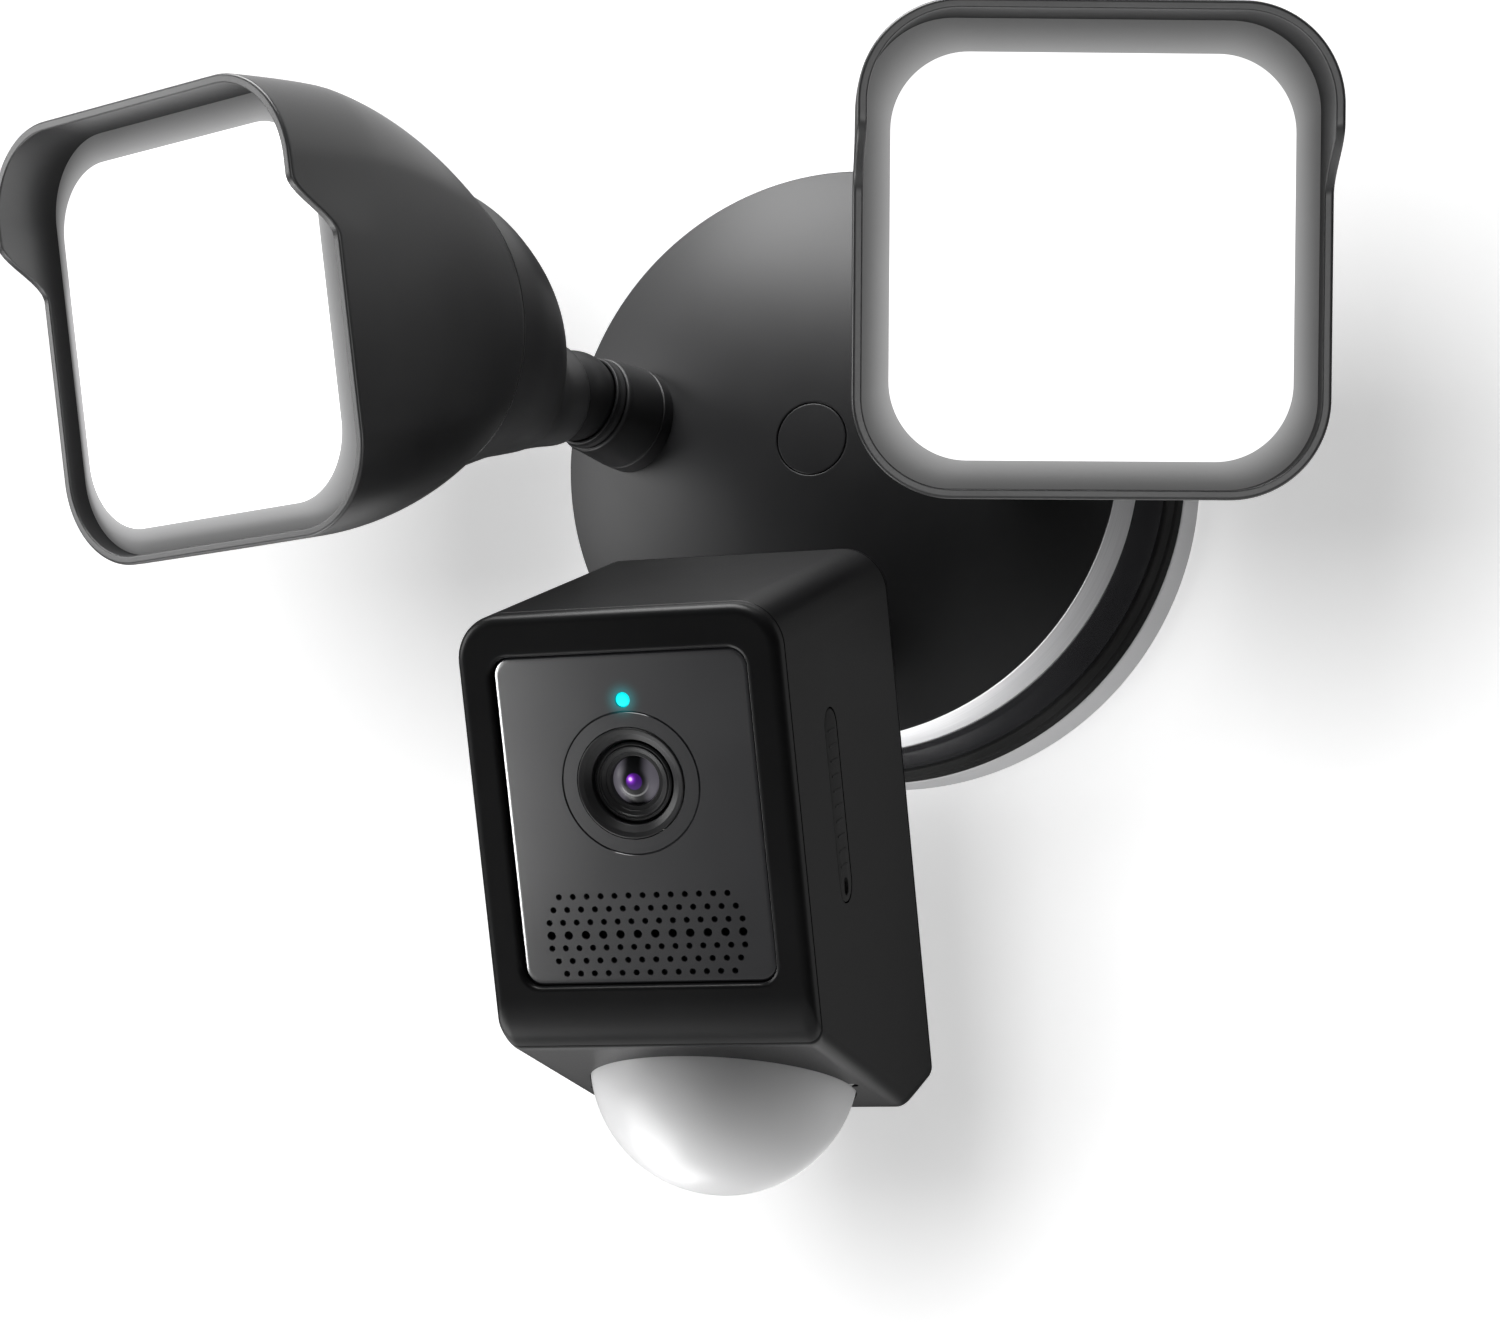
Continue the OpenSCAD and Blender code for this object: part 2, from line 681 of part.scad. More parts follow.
module lens_glass() color("#2b1c44") cam_frame() translate([0, 0, lens_w]) rotate([-90, 0, 0]) intersection() {
    translate([0, 0, 10.2]) sphere(r = 8.6);
    translate([0, 0, 1]) cylinder(r = 4.7, h = 3);
}

module status_light() color("cyan") cam_frame() translate([0, 0, light_w]) rotate([-90, 0, 0])
    cylinder(r = 1.4, h = 9);

module image_board() color("darkgreen") cam_frame() {
    translate([-14, 16, lens_w - 12]) cube([28, 1.2, 24]);
    translate([-2.6, 14.8, lens_w - 2.6]) cube([5.2, 1.2, 5.2]);
}

module main_board() color("darkgreen") cam_frame() {
    translate([-26, 46, -34]) cube([52, 1.6, 68]);
    translate([-9, 44.4, -6]) cube([18, 1.6, 18]);
    translate([10, 44.8, -26]) cube([12, 1.2, 10]);
}

module speaker() color("#333333") cam_frame() translate([0, glass_t + 0.4, -22.5]) rotate([-90, 0, 0])
    difference() {
        union() {
            linear_extrude(3) round_rect(46, 17.4, 6);
            translate([0, 0, 3]) cylinder(r = 7.6, h = 6);
        }
        translate([0, 0, -1]) linear_extrude(2.5) round_rect(42, 15, 5);
    }

module card_socket() color("silver") cam_frame() difference() {
    translate([14, plug_u - 2.2, 0]) cube([14, 4.4, 12]);
    translate([15, plug_u - 0.6, 1]) cube([14, 1.2, 10]);
}

// Small board behind the side plug, with the switch body that guides the reset button
module side_board() color("darkgreen") cam_frame() difference() {
    union() {
        translate([10, plug_u + 2.3, -20]) cube([19, 1.2, 34]);
        translate([button_x - 2.6, plug_u - 2.4, button_w - 3]) cube([7.4, 4.8, 6]);
    }
    translate([button_x - 1.6, plug_u, button_w]) rotate([0, 90, 0]) cylinder(r = 2.1, h = 3.4);
    translate([button_x, plug_u, button_w]) rotate([0, 90, 0]) cylinder(r = button_r + run_fit, h = 9);
}

// Plug with a flush pill face and finger ribs
module side_plug() color("#19191b") cam_frame() translate([cam_w / 2, plug_u, plug_mid]) {
    difference() {
        translate([-1.6, 0, 0]) rotate([90, 0, 90]) linear_extrude(1.6) pill(plug_len - 0.3, plug_w - 0.3);
        translate([-0.6, 0, -plug_len / 2 + 3.4]) rotate([90, 0, 90]) linear_extrude(1) pill(3.6, 2.6);
    }
    for (z = [-12:3:15]) translate([-0.1, -2.2, z - 0.2]) cube([0.25, 4.4, 0.4]);
}

module reset_button() color("gray") cam_frame() translate([button_x, plug_u, button_w]) rotate([0, 90, 0])
    union() {
        cylinder(r = button_r, h = 6.2);
        cylinder(r = 1.8, h = 1.2);
    }

module motion_dome() color("white") cam_frame() translate(dome_at) difference() {
    sphere(r = dome_r);
    sphere(r = dome_r - 2);
    rotate([-chin_slope, 0, 0]) translate([-40, -40, -1.6]) cube([80, 80, 60]);
}

module motion_sensor() color("gray") cam_frame() translate(dome_at) rotate([-chin_slope, 0, 0]) {
    translate([0, 0, -5]) cylinder(r = 4.1, h = 5);
    translate([-9, -9, 0]) cube([18, 18, 1.4]);
}

// Ball with upright trunnions for the cup's ears and cross bores for the camera's tilt pins
module camera_ball() color("#101011") cam_ball_frame(cam_arm_pitch) difference() {
    union() {
        intersection() {
            sphere(r = ball_r);
            cube([2 * flat_x, 2 * flat_x, 30], center = true);
        }
        rotate([90, 0, 0]) cylinder(r = pin_r, h = 2 * ear_out, center = true);
    }
    rotate([0, 90, 0]) cylinder(r = pin_r + run_fit, h = 30, center = true);
}

module camera_tilt_pins() color("silver") cam_ball_frame(cam_pitch) for (side = [-1, 1])
    translate([side * (ear_out + 4) / 2, 0, 0]) rotate([0, 90, 0]) cylinder(r = pin_r, h = ear_out - 4, center = true);

// Collar on the camera's back with two ears that reach the ball
module camera_neck() color("#1c1c1e") cam_ball_frame(cam_pitch) difference() {
    union() {
        translate([0, 0, 9]) cylinder(r = 11.8, h = 4.98);
        for (side = [-1, 1]) translate([side * (ear_in + ear_out) / 2, 0, 0]) {
            rotate([0, 90, 0]) cylinder(r = ear_r, h = ear_out - ear_in, center = true);
            translate([-(ear_out - ear_in) / 2, -ear_r, 0]) cube([ear_out - ear_in, 2 * ear_r, 10]);
        }
    }
    sphere(r = seat_r);
    rotate([0, 90, 0]) cylinder(r = pin_r + run_fit, h = 30, center = true);
    translate([0, 0, 5]) cylinder(r = 6, h = 12);
}

mounting_plate();
seal_ring();
base_tray();
trim_band();
front_cover();
cover_plug();
hub_screw();
terminal_block();
power_board();
power_components();
siren();
tray_screws();
arm_nuts();
left_arm_stub();
right_arm_stub();
camera_arm_stub();
left_swivel_cup();
left_ball();
left_tilt_pin();
left_neck_socket();
left_rear_bell();
left_front_housing();
left_diffuser();
left_gasket();
left_led_board();
left_heat_sink();
left_board_screws();
right_swivel_cup();
right_ball();
right_tilt_pin();
right_neck_socket();
right_rear_bell();
right_front_housing();
right_diffuser();
right_gasket();
right_led_board();
right_heat_sink();
right_board_screws();
camera_swivel_cup();
camera_ball();
camera_tilt_pins();
camera_neck();
camera_back();
camera_shell();
camera_bezel();
front_glass();
lens_housing();
lens_barrel();
lens_glass();
status_light();
image_board();
main_board();
side_board();
speaker();
card_socket();
side_plug();
reset_button();
motion_dome();
motion_sensor();
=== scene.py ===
"""Looks for a floodlight security camera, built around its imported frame.

Each shape is laid out in millimetres in a place of its own on the object, and comes out in metres.
"""

import json
import math

import bmesh
import bpy
import numpy as np
from mathutils import Matrix, Vector


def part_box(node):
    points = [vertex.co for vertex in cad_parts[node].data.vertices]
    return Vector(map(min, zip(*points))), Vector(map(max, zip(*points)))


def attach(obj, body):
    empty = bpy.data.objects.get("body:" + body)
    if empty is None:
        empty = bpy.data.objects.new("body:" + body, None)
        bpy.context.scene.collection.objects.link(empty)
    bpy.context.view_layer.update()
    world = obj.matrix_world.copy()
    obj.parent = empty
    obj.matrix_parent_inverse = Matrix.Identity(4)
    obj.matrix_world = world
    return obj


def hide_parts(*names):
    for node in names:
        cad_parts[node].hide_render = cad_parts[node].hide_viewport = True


MM = 0.001
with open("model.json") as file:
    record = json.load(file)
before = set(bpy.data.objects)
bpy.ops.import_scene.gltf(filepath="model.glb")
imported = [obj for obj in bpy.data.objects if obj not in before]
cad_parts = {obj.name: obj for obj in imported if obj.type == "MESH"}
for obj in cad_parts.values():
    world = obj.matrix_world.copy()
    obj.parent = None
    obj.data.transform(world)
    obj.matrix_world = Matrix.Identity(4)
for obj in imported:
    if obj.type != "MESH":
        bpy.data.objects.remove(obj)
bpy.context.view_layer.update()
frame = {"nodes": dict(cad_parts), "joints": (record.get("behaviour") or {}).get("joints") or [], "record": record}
joints = {j["name"]: j for j in frame["joints"]}
SIDES = {"left": -1, "right": 1}


# ---- Places on the object ----

def unit(v):
    """The vector at length one."""
    v = np.asarray(v, float)
    return v / np.linalg.norm(v)


class Place:
    """An origin in metres with axes across, up and out, along which local millimetres are laid."""

    def __init__(self, origin, across, out):
        self.origin = np.array(origin, float)
        self.out = unit(out)
        self.across = unit(across - np.dot(across, self.out) * self.out)
        self.up = np.cross(self.out, self.across)

    def __call__(self, points):
        """Metres on the object of points in local millimetres."""
        points = np.asarray(points, float)
        axes = np.stack([self.across, self.up, self.out])
        return self.origin + MM * points @ axes


def reach(node):
    """Outer radius and the nearest and farthest distance from the wall of a base ring, in millimetres."""
    low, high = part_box(node)
    return high.x / MM, -high.y / MM, -low.y / MM


WALL = Place((0, 0, 0), (1, 0, 0), (0, -1, 0))


def arm_place(side):
    """At a lamp's ball, out along its arm."""
    swivel, tilt = joints[side + "_lamp_swivel"], joints[side + "_lamp_tilt"]
    return Place(swivel["pos_m"], -np.array(tilt["axis"]), swivel["axis"])


def head_place(side):
    """At a lamp's ball, forward along its neck."""
    turn, tilt = joints[side + "_lamp_turn"], joints[side + "_lamp_tilt"]
    return Place(turn["pos_m"], -np.array(tilt["axis"]), turn["axis"])


CAM_PITCH = math.radians(17.14)
GLASS_T = 1.6
GLASS_W, GLASS_H = 52.1, 64.9


def camera_place():
    """At the middle of the front glass: across, up along the glass and out towards the viewer."""
    low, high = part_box("front_glass")
    out = np.array([0, -math.cos(CAM_PITCH), -math.sin(CAM_PITCH)])
    return Place((np.array(low) + np.array(high)) / 2 + out * GLASS_T / 2 * MM, (1, 0, 0), out)


CAMERA = camera_place()


# ---- Meshes from grids of points ----

def quads(rows, cols, wrap_rows, wrap_cols):
    """Quads between neighbours on a grid; a wrapped direction joins its last line to its first."""
    i = np.arange(rows if wrap_rows else rows - 1)[:, None]
    j = np.arange(cols if wrap_cols else cols - 1)[None, :]
    i2, j2 = (i + 1) % rows, (j + 1) % cols
    return np.stack([i * cols + j, i * cols + j2, i2 * cols + j2, i2 * cols + j], -1).reshape(-1, 4)


def add(name, data):
    """New object with its data, in the scene."""
    made = bpy.data.objects.new(name, data)
    bpy.context.scene.collection.objects.link(made)
    return made


def solid(name, *grids, uv=None):
    """One mesh from grids (points, wrap rows, wrap columns): doubles merged, faces turned outward."""
    points, faces, start = [], [], 0
    for grid, wrap_rows, wrap_cols in grids:
        faces.append(quads(*grid.shape[:2], wrap_rows, wrap_cols) + start)
        points.append(grid.reshape(-1, 3))
        start += len(points[-1])
    mesh = bpy.data.meshes.new(name)
    mesh.from_pydata(np.concatenate(points).tolist(), [], np.concatenate(faces).tolist())
    if uv is not None:
        index = np.zeros(len(mesh.loops), np.int32)
        mesh.loops.foreach_get("vertex_index", index)
        mesh.uv_layers.new(name="border").data.foreach_set("uv", uv.reshape(-1, 2)[index].ravel())
    work = bmesh.new()
    work.from_mesh(mesh)
    bmesh.ops.remove_doubles(work, verts=work.verts, dist=2e-7)
    bmesh.ops.dissolve_degenerate(work, edges=work.edges, dist=1e-7)
    bmesh.ops.recalc_face_normals(work, faces=work.faces)
    work.to_mesh(mesh)
    work.free()
    return add(name, mesh)


def cut(piece, *tools):
    """Takes each tool's solid away from the piece, and removes the tool."""
    for tool in tools:
        step = piece.modifiers.new("cut", "BOOLEAN")
        step.operation, step.solver, step.object = "DIFFERENCE", "EXACT", tool
        bpy.context.view_layer.update()
        made = bpy.data.meshes.new_from_object(piece.evaluated_get(bpy.context.evaluated_depsgraph_get()))
        piece.modifiers.clear()
        piece.data = made
        bpy.data.objects.remove(tool)
    return piece


def fit(piece, body, finish, slot, *nodes, angle=30, weigh=False):
    """Shades a piece, gives it its finish, and puts it on its body in place of its nodes."""
    piece.data.materials.clear()
    piece.data.materials.append(finish)
    piece.data.shade_smooth()
    piece.data.set_sharp_from_angle(angle=math.radians(angle))
    if weigh:
        step = piece.modifiers.new("normals", "WEIGHTED_NORMAL")
        step.keep_sharp = True
    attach(piece, body)
    if nodes:
        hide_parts(*nodes)
    return piece


def arc(start, stop, count):
    """Angles in degrees as cosines and sines."""
    a = np.radians(np.linspace(start, stop, count))
    return np.cos(a), np.sin(a)


def bow(radius, start, stop, count):
    """Points on a circle between two angles in degrees."""
    return radius * np.stack(arc(start, stop, count), -1)


def rounded(corners, steps=6):
    """Closed outline through (across, along, fillet) corners.

    A fillet is an arc tangent to both sides, and a point beside each end keeps the side flat.
    """
    spots = np.array([c[:2] for c in corners], float)
    line = []
    for k, (*_, fillet) in enumerate(corners):
        here = spots[k]
        back, ahead = spots[k - 1] - here, spots[(k + 1) % len(corners)] - here
        if fillet == 0:
            line.append(here[None])
            continue
        room = 0.45 * min(np.linalg.norm(back), np.linalg.norm(ahead))
        back, ahead = unit(back), unit(ahead)
        half = math.acos(np.clip(back @ ahead, -1, 1)) / 2
        cut_back = min(fillet / math.tan(half), room)
        radius = cut_back * math.tan(half)
        centre = here + unit(back + ahead) * radius / math.sin(half)
        first, last = here + back * cut_back, here + ahead * cut_back
        a0, a1 = (math.atan2(*(p - centre)[::-1]) for p in (first, last))
        a1 = a0 + (a1 - a0 + math.pi) % (2 * math.pi) - math.pi
        a = np.linspace(a0, a1, steps + 1)
        flat = min(0.3, 0.2 * room)
        line.append((first + back * flat)[None])
        line.append(centre + radius * np.stack([np.cos(a), np.sin(a)], -1))
        line.append((last + ahead * flat)[None])
    return np.concatenate(line)


def revolve(place, outline, columns=192):
    """Grid of an outline (radius, distance out) carried round the place's out axis."""
    a = np.linspace(0, 2 * np.pi, columns, endpoint=False)[None, :]
    r, h = outline[:, :1], outline[:, 1:2]
    return place(np.stack([r * np.cos(a), r * np.sin(a), h + 0 * a], -1)), True, True


def turned(place, outline, columns):
    """Grid of an outline that starts and ends on the axis, carried round it."""
    return revolve(place, np.asarray(outline, float), columns)[0], False, True


def prism(place, outline, near, far):
    """Closed grid of a flat outline (across, up) from near to far, with its ends closed on the middle."""
    outline = np.asarray(outline, float)
    middle = np.broadcast_to(outline.mean(0), outline.shape)
    rows = [(middle, near), (outline, near), (outline, far), (middle, far)]
    return place(np.stack([np.concatenate([o, np.full((len(o), 1), h)], 1) for o, h in rows])), False, True


def pchip(x, y, at):
    """Smooth curve through points that never overshoots: cubic pieces whose slopes are harmonic means."""
    x, y, at = (np.asarray(v, float) for v in (x, y, at))
    step, slope = np.diff(x), np.diff(y) / np.diff(x)
    same = slope[1:] * slope[:-1] > 0
    w1, w2 = 2 * step[1:] + step[:-1], step[1:] + 2 * step[:-1]
    mean = (w1 + w2) / (w1 / np.where(same, slope[:-1], 1) + w2 / np.where(same, slope[1:], 1))
    tangent = np.concatenate([slope[:1], np.where(same, mean, 0), slope[-1:]])
    k = np.clip(np.searchsorted(x, at, side="right") - 1, 0, len(x) - 2)
    t, h = (at - x[k]) / step[k], step[k]
    return ((2 * t**3 - 3 * t**2 + 1) * y[k] + (t**3 - 2 * t**2 + t) * h * tangent[k]
            + (3 * t**2 - 2 * t**3) * y[k + 1] + (t**3 - t**2) * h * tangent[k + 1])


def smooth(x, start, stop):
    """Rises from 0 to 1 between start and stop with level ends."""
    t = np.clip((x - start) / (stop - start), 0, 1)
    return t * t * (3 - 2 * t)


# ---- Finishes ----

class Value:
    """A shader socket that takes part in written sums."""

    def __init__(self, finish, socket):
        self.finish, self.socket = finish, socket

    def math(self, operation, first, second=0.0):
        """Adds a Math node on two values or numbers."""
        return self.finish.node("Math", {"operation": operation}, {0: first, 1: second})

    def __add__(self, other):
        return self.math("ADD", self, other)

    __radd__ = __add__

    def __mul__(self, other):
        return self.math("MULTIPLY", self, other)

    __rmul__ = __mul__

    def __sub__(self, other):
        return self.math("SUBTRACT", self, other)

    def __rsub__(self, other):
        return self.math("SUBTRACT", other, self)

    def __pow__(self, other):
        return self.math("POWER", self, other)

    def step(self, start, stop):
        """Rises from 0 to 1 as this goes from start to stop, either way round."""
        return self.finish.node("MapRange", {"interpolation_type": "SMOOTHSTEP"},
                                {"Value": self, "From Min": start, "From Max": stop})


class Finish:
    """A material with one Principled shader, and the ways to add nodes to it."""

    def __init__(self, name, **constants):
        self.material = bpy.data.materials.new(name)
        self.material.use_nodes = True
        self.tree = self.material.node_tree
        self.tree.nodes.clear()
        self.shader = self.tree.nodes.new("ShaderNodeBsdfPrincipled")
        self.output = self.tree.nodes.new("ShaderNodeOutputMaterial")
        self.tree.links.new(self.shader.outputs[0], self.output.inputs[0])
        for socket, value in constants.items():
            self.feed(socket, value)

    def feed(self, socket, value):
        """Gives one of the shader's sockets a number, a colour or a value."""
        self.link(self.shader.inputs[socket.replace("_", " ")], value)
        return self

    def link(self, socket, value):
        """Links a value to a socket, or sets the socket to a number or a colour."""
        if isinstance(value, Value):
            self.tree.links.new(value.socket, socket)
        elif socket.type == "RGBA" and len(value) == 3:
            socket.default_value = (*value, 1)
        else:
            socket.default_value = value

    def node(self, kind, settings=(), inputs=(), out=0):
        """Adds a node: its settings first, such as an operation or a ramp's stops, then its sockets."""
        made = self.tree.nodes.new("ShaderNode" + kind)
        for name, value in dict(settings).items():
            if name == "stops":
                ramp = made.color_ramp
                for k, (at, shade) in enumerate(value):
                    stop = ramp.elements[k] if k < 2 else ramp.elements.new(at)
                    stop.position, stop.color = at, (*shade, 1)
            else:
                setattr(made, name, value)
        for name, value in dict(inputs).items():
            self.link(made.inputs[name], value)
        return Value(self, made.outputs[out])

    def place(self):
        """The point on the object, in metres."""
        return self.node("TexCoord", out="Object")

    def noise(self, scale, detail=2.0, stretch=(1, 1, 1)):
        """Soft random pattern from 0 to 1, with about scale spots a metre."""
        at = self.node("Mapping", {}, {"Vector": self.place(), "Scale": stretch})
        return self.node("TexNoise", {}, {"Vector": at, "Scale": scale, "Detail": detail})

    def mix(self, share, first, second):
        """Colour that goes from the first to the second as share goes from 0 to 1."""
        return self.node("Mix", {"data_type": "RGBA"}, {0: share, 6: first, 7: second}, out=2)

    def bump(self, height, depth, strength=1.0):
        """Raises the surface by up to depth metres where height is 1."""
        return self.feed("Normal", self.node(
            "Bump", {}, {"Height": height, "Distance": depth, "Strength": strength}))

    def vector(self, operation, first, second=(0, 0, 0), out=0):
        """Adds a Vector Math node on two vectors."""
        return self.node("VectorMath", {"operation": operation}, {0: first, 1: second}, out)

    def distance(self, point, axis=None):
        """Distance in metres from a point, or from the line through it along an axis."""
        away = self.vector("SUBTRACT", self.place(), tuple(point))
        if axis is not None:
            away = self.vector("SUBTRACT", away, self.vector("PROJECT", away, tuple(axis)))
        return self.vector("LENGTH", away, out="Value")

    def along(self, point, axis):
        """Distance in metres from a point, measured along an axis."""
        away = self.vector("SUBTRACT", self.place(), tuple(point))
        return self.vector("DOT_PRODUCT", away, tuple(axis), out="Value")


def plastic(name, dark, light, rough, grain=2600, grain_depth=1.2e-5, spread=0.08, **constants):
    """Moulded plastic: fine spark-eroded grain, clouded colour and a faint change of gloss."""
    f = Finish(name, **constants)
    cloud, fine = f.noise(30, 3), f.noise(grain, 3)
    f.feed("Base Color", f.mix(cloud.step(0.3, 0.7), dark, light))
    f.feed("Roughness", rough + (cloud - 0.5) * spread + (fine - 0.5) * spread)
    return f.bump(fine, grain_depth, 0.5)


def metal(name, shade, rough, stretch=(1, 1, 1), scale=900):
    """Plated or brushed metal with fine streaks in its gloss."""
    f = Finish(name, Metallic=1.0)
    streak = f.noise(scale, 4, stretch)
    f.feed("Base Color", f.mix(streak, [c * 0.82 for c in shade], shade))
    f.feed("Roughness", rough + (streak - 0.5) * 0.25)
    return f.bump(streak, 6e-6, 0.4)


def board(name, mask, trace):
    """Printed circuit board: solder mask over a pattern of straight traces, with small pads."""
    f = Finish(name, Roughness=0.35, Coat_Weight=0.4, Coat_Roughness=0.2)
    cells = f.node("TexVoronoi", {"distance": "CHEBYCHEV", "feature": "F1"},
                   {"Vector": f.place(), "Scale": 260.0}, out="Distance")
    lines = f.node("TexBrick", {}, {"Vector": f.place(), "Scale": 180.0, "Mortar Size": 0.03}, out="Fac")
    pads = 1 - cells.step(0.1, 0.16)
    f.feed("Base Color", f.mix(pads, f.mix(lines, mask, trace), (0.6, 0.6, 0.55)))
    f.feed("Metallic", pads * 0.8)
    return f.bump(lines + pads, 2e-5, 0.4)


def trim_silver():
    """Satin silver band, brushed round the base."""
    f = Finish("trim_silver", Metallic=0.75)
    streak = f.noise(60, 4, (1, 40, 1))
    f.feed("Base Color", f.mix(streak, (0.50, 0.50, 0.51), (0.72, 0.72, 0.73)))
    f.feed("Roughness", 0.34 + (streak - 0.5) * 0.12)
    return f.bump(f.noise(3200, 2), 6e-6, 0.3)


def lit_diffuser():
    """Lit milky lens: even white in the middle, fading to grey across its sloped border."""
    f = Finish("lit_diffuser", Roughness=0.5, Specular_IOR_Level=0.3)
    border = f.node("UVMap", {"uv_map": "border"})
    inward = f.node("SeparateXYZ", {}, {0: border}, out="X")
    fine = f.noise(1500, 2)
    lit = inward.step(0.985, 1.0)
    glow = 0.10 + 0.22 * (inward ** 1.6) + (fine - 0.5) * 0.012
    f.feed("Base Color", f.mix(lit, (0.25, 0.25, 0.255), (0.9, 0.9, 0.9)))
    f.feed("Emission Color", f.mix(lit, f.node("CombineColor", {}, {0: glow, 1: glow, 2: glow}),
                                   (1.15, 1.15, 1.15)))
    f.feed("Emission Strength", 1.0)
    return f.bump(fine, 8e-6, 0.2)


LENS_W, LIGHT_W = 7.0, 23.3
LED_AT = CAMERA((0, LIGHT_W, 0))


def panel_black():
    """Gloss black front panel with the status light's glow spreading in its surface."""
    f = Finish("panel_black", Coat_Weight=0.5, Coat_Roughness=0.15, IOR=1.5)
    smear = f.noise(45, 3)
    f.feed("Base Color", f.mix(smear, (0.006, 0.006, 0.007), (0.010, 0.010, 0.011)))
    f.feed("Roughness", 0.14 + (smear - 0.5) * 0.03)
    glow = (1 - f.distance(LED_AT).step(0.0, 0.0052)) ** 2.2
    f.feed("Emission Color", f.mix(glow, (0.0, 0.0, 0.0), (0.0, 0.22, 0.24)))
    f.feed("Emission Strength", 1.0)
    return f.bump(f.noise(3000, 2), 2e-6, 0.2)


def lens_coating_painted_reflections():
    """Coated front element: dark glass with two soft grey painted reflections at its sides, painted highlight
    crescents in its lower half, and a violet heart that glows with painted light and a painted pale glint.
    """
    f = Finish("lens_coating_painted_reflections", Roughness=0.3, Coat_Weight=0.1, Coat_Roughness=0.1)
    centre = CAMERA((0, LENS_W, -1))
    off = f.distance(centre, CAMERA.out)
    side = f.node("Math", {"operation": "ABSOLUTE"}, {0: f.along(centre, CAMERA.across)})
    # Painted reflection: soft grey patches either side of the middle, in both base colour and emission.
    painted_reflection = side.step(0.0010, 0.0034) * off.step(0.0017, 0.0030)
    # Painted highlight: thin pale crescents round the lower half.
    low_half = f.along(centre, CAMERA.up).step(0.0, -0.0026)
    painted_arc_highlights = off.step(0.0026, 0.0028) * off.step(0.0031, 0.0029) * low_half
    grey = f.mix(painted_reflection, (0.010, 0.010, 0.012), (0.13, 0.125, 0.14))
    # Painted light in the heart: its emission is a violet glow, with a painted pale glint towards the upper left.
    heart = off.step(0.00175, 0.0015)
    glint = f.distance(CAMERA((-0.65, LENS_W + 0.5, -1)), CAMERA.out).step(0.0014, 0.0001)
    stops = [(0.0, (0.03, 0.003, 0.09)), (1.0, (0.95, 0.75, 1.0)), (0.45, (0.12, 0.012, 0.33)),
             (0.8, (0.38, 0.07, 0.72))]
    violet = f.node("ValToRGB", {"stops": stops}, {0: glint})
    f.feed("Base Color", f.mix(heart, f.mix(painted_arc_highlights, grey, (0.5, 0.5, 0.5)), (0.05, 0.01, 0.12)))
    f.feed("Emission Color", f.mix(heart, f.mix(painted_reflection, (0.0, 0.0, 0.0), (0.075, 0.07, 0.085)), violet))
    f.feed("Emission Strength", 1.0)
    return f.bump(f.noise(400, 1), 1e-6, 0.1)


def status_cyan():
    """Lit status light."""
    f = Finish("status_cyan", Roughness=0.3)
    spread = f.distance(LED_AT).step(0.0005, 0.0016)
    f.feed("Base Color", f.mix(spread, (0.0, 0.7, 0.75), (0.0, 0.5, 0.55)))
    f.feed("Emission Color", f.mix(spread, (0.02, 1.0, 1.0), (0.0, 0.80, 0.86)))
    f.feed("Emission Strength", 1.0)
    return f.bump(f.noise(1500, 1), 2e-6, 0.1)


def milky_dome():
    """Milky polyethylene dome: soft satin skin that takes the light right through its edge."""
    f = Finish("milky_dome", Subsurface_Weight=0.15, Subsurface_Scale=0.006, Subsurface_Radius=(1, 1, 1),
               Sheen_Weight=1.0, Sheen_Roughness=0.25, Coat_Weight=0.2, Coat_Roughness=0.2)
    cloud = f.noise(22, 3)
    f.feed("Base Color", f.mix(cloud, (0.68, 0.68, 0.685), (0.75, 0.75, 0.755)))
    f.feed("Roughness", 0.42 + (cloud - 0.5) * 0.08)
    return f.bump(f.noise(1800, 3), 5e-6, 0.3)


def plate_white():
    """Pale frosted wall plate, slightly see-through at its rim."""
    f = Finish("plate_white", Subsurface_Weight=0.3, Subsurface_Scale=0.004, Subsurface_Radius=(1, 1, 1),
               Coat_Weight=0.2)
    cloud = f.noise(35, 3)
    f.feed("Base Color", f.mix(cloud, (0.66, 0.66, 0.67), (0.74, 0.74, 0.75)))
    f.feed("Roughness", 0.42 + (cloud - 0.5) * 0.1)
    return f.bump(f.noise(2200, 3), 1e-5, 0.4)


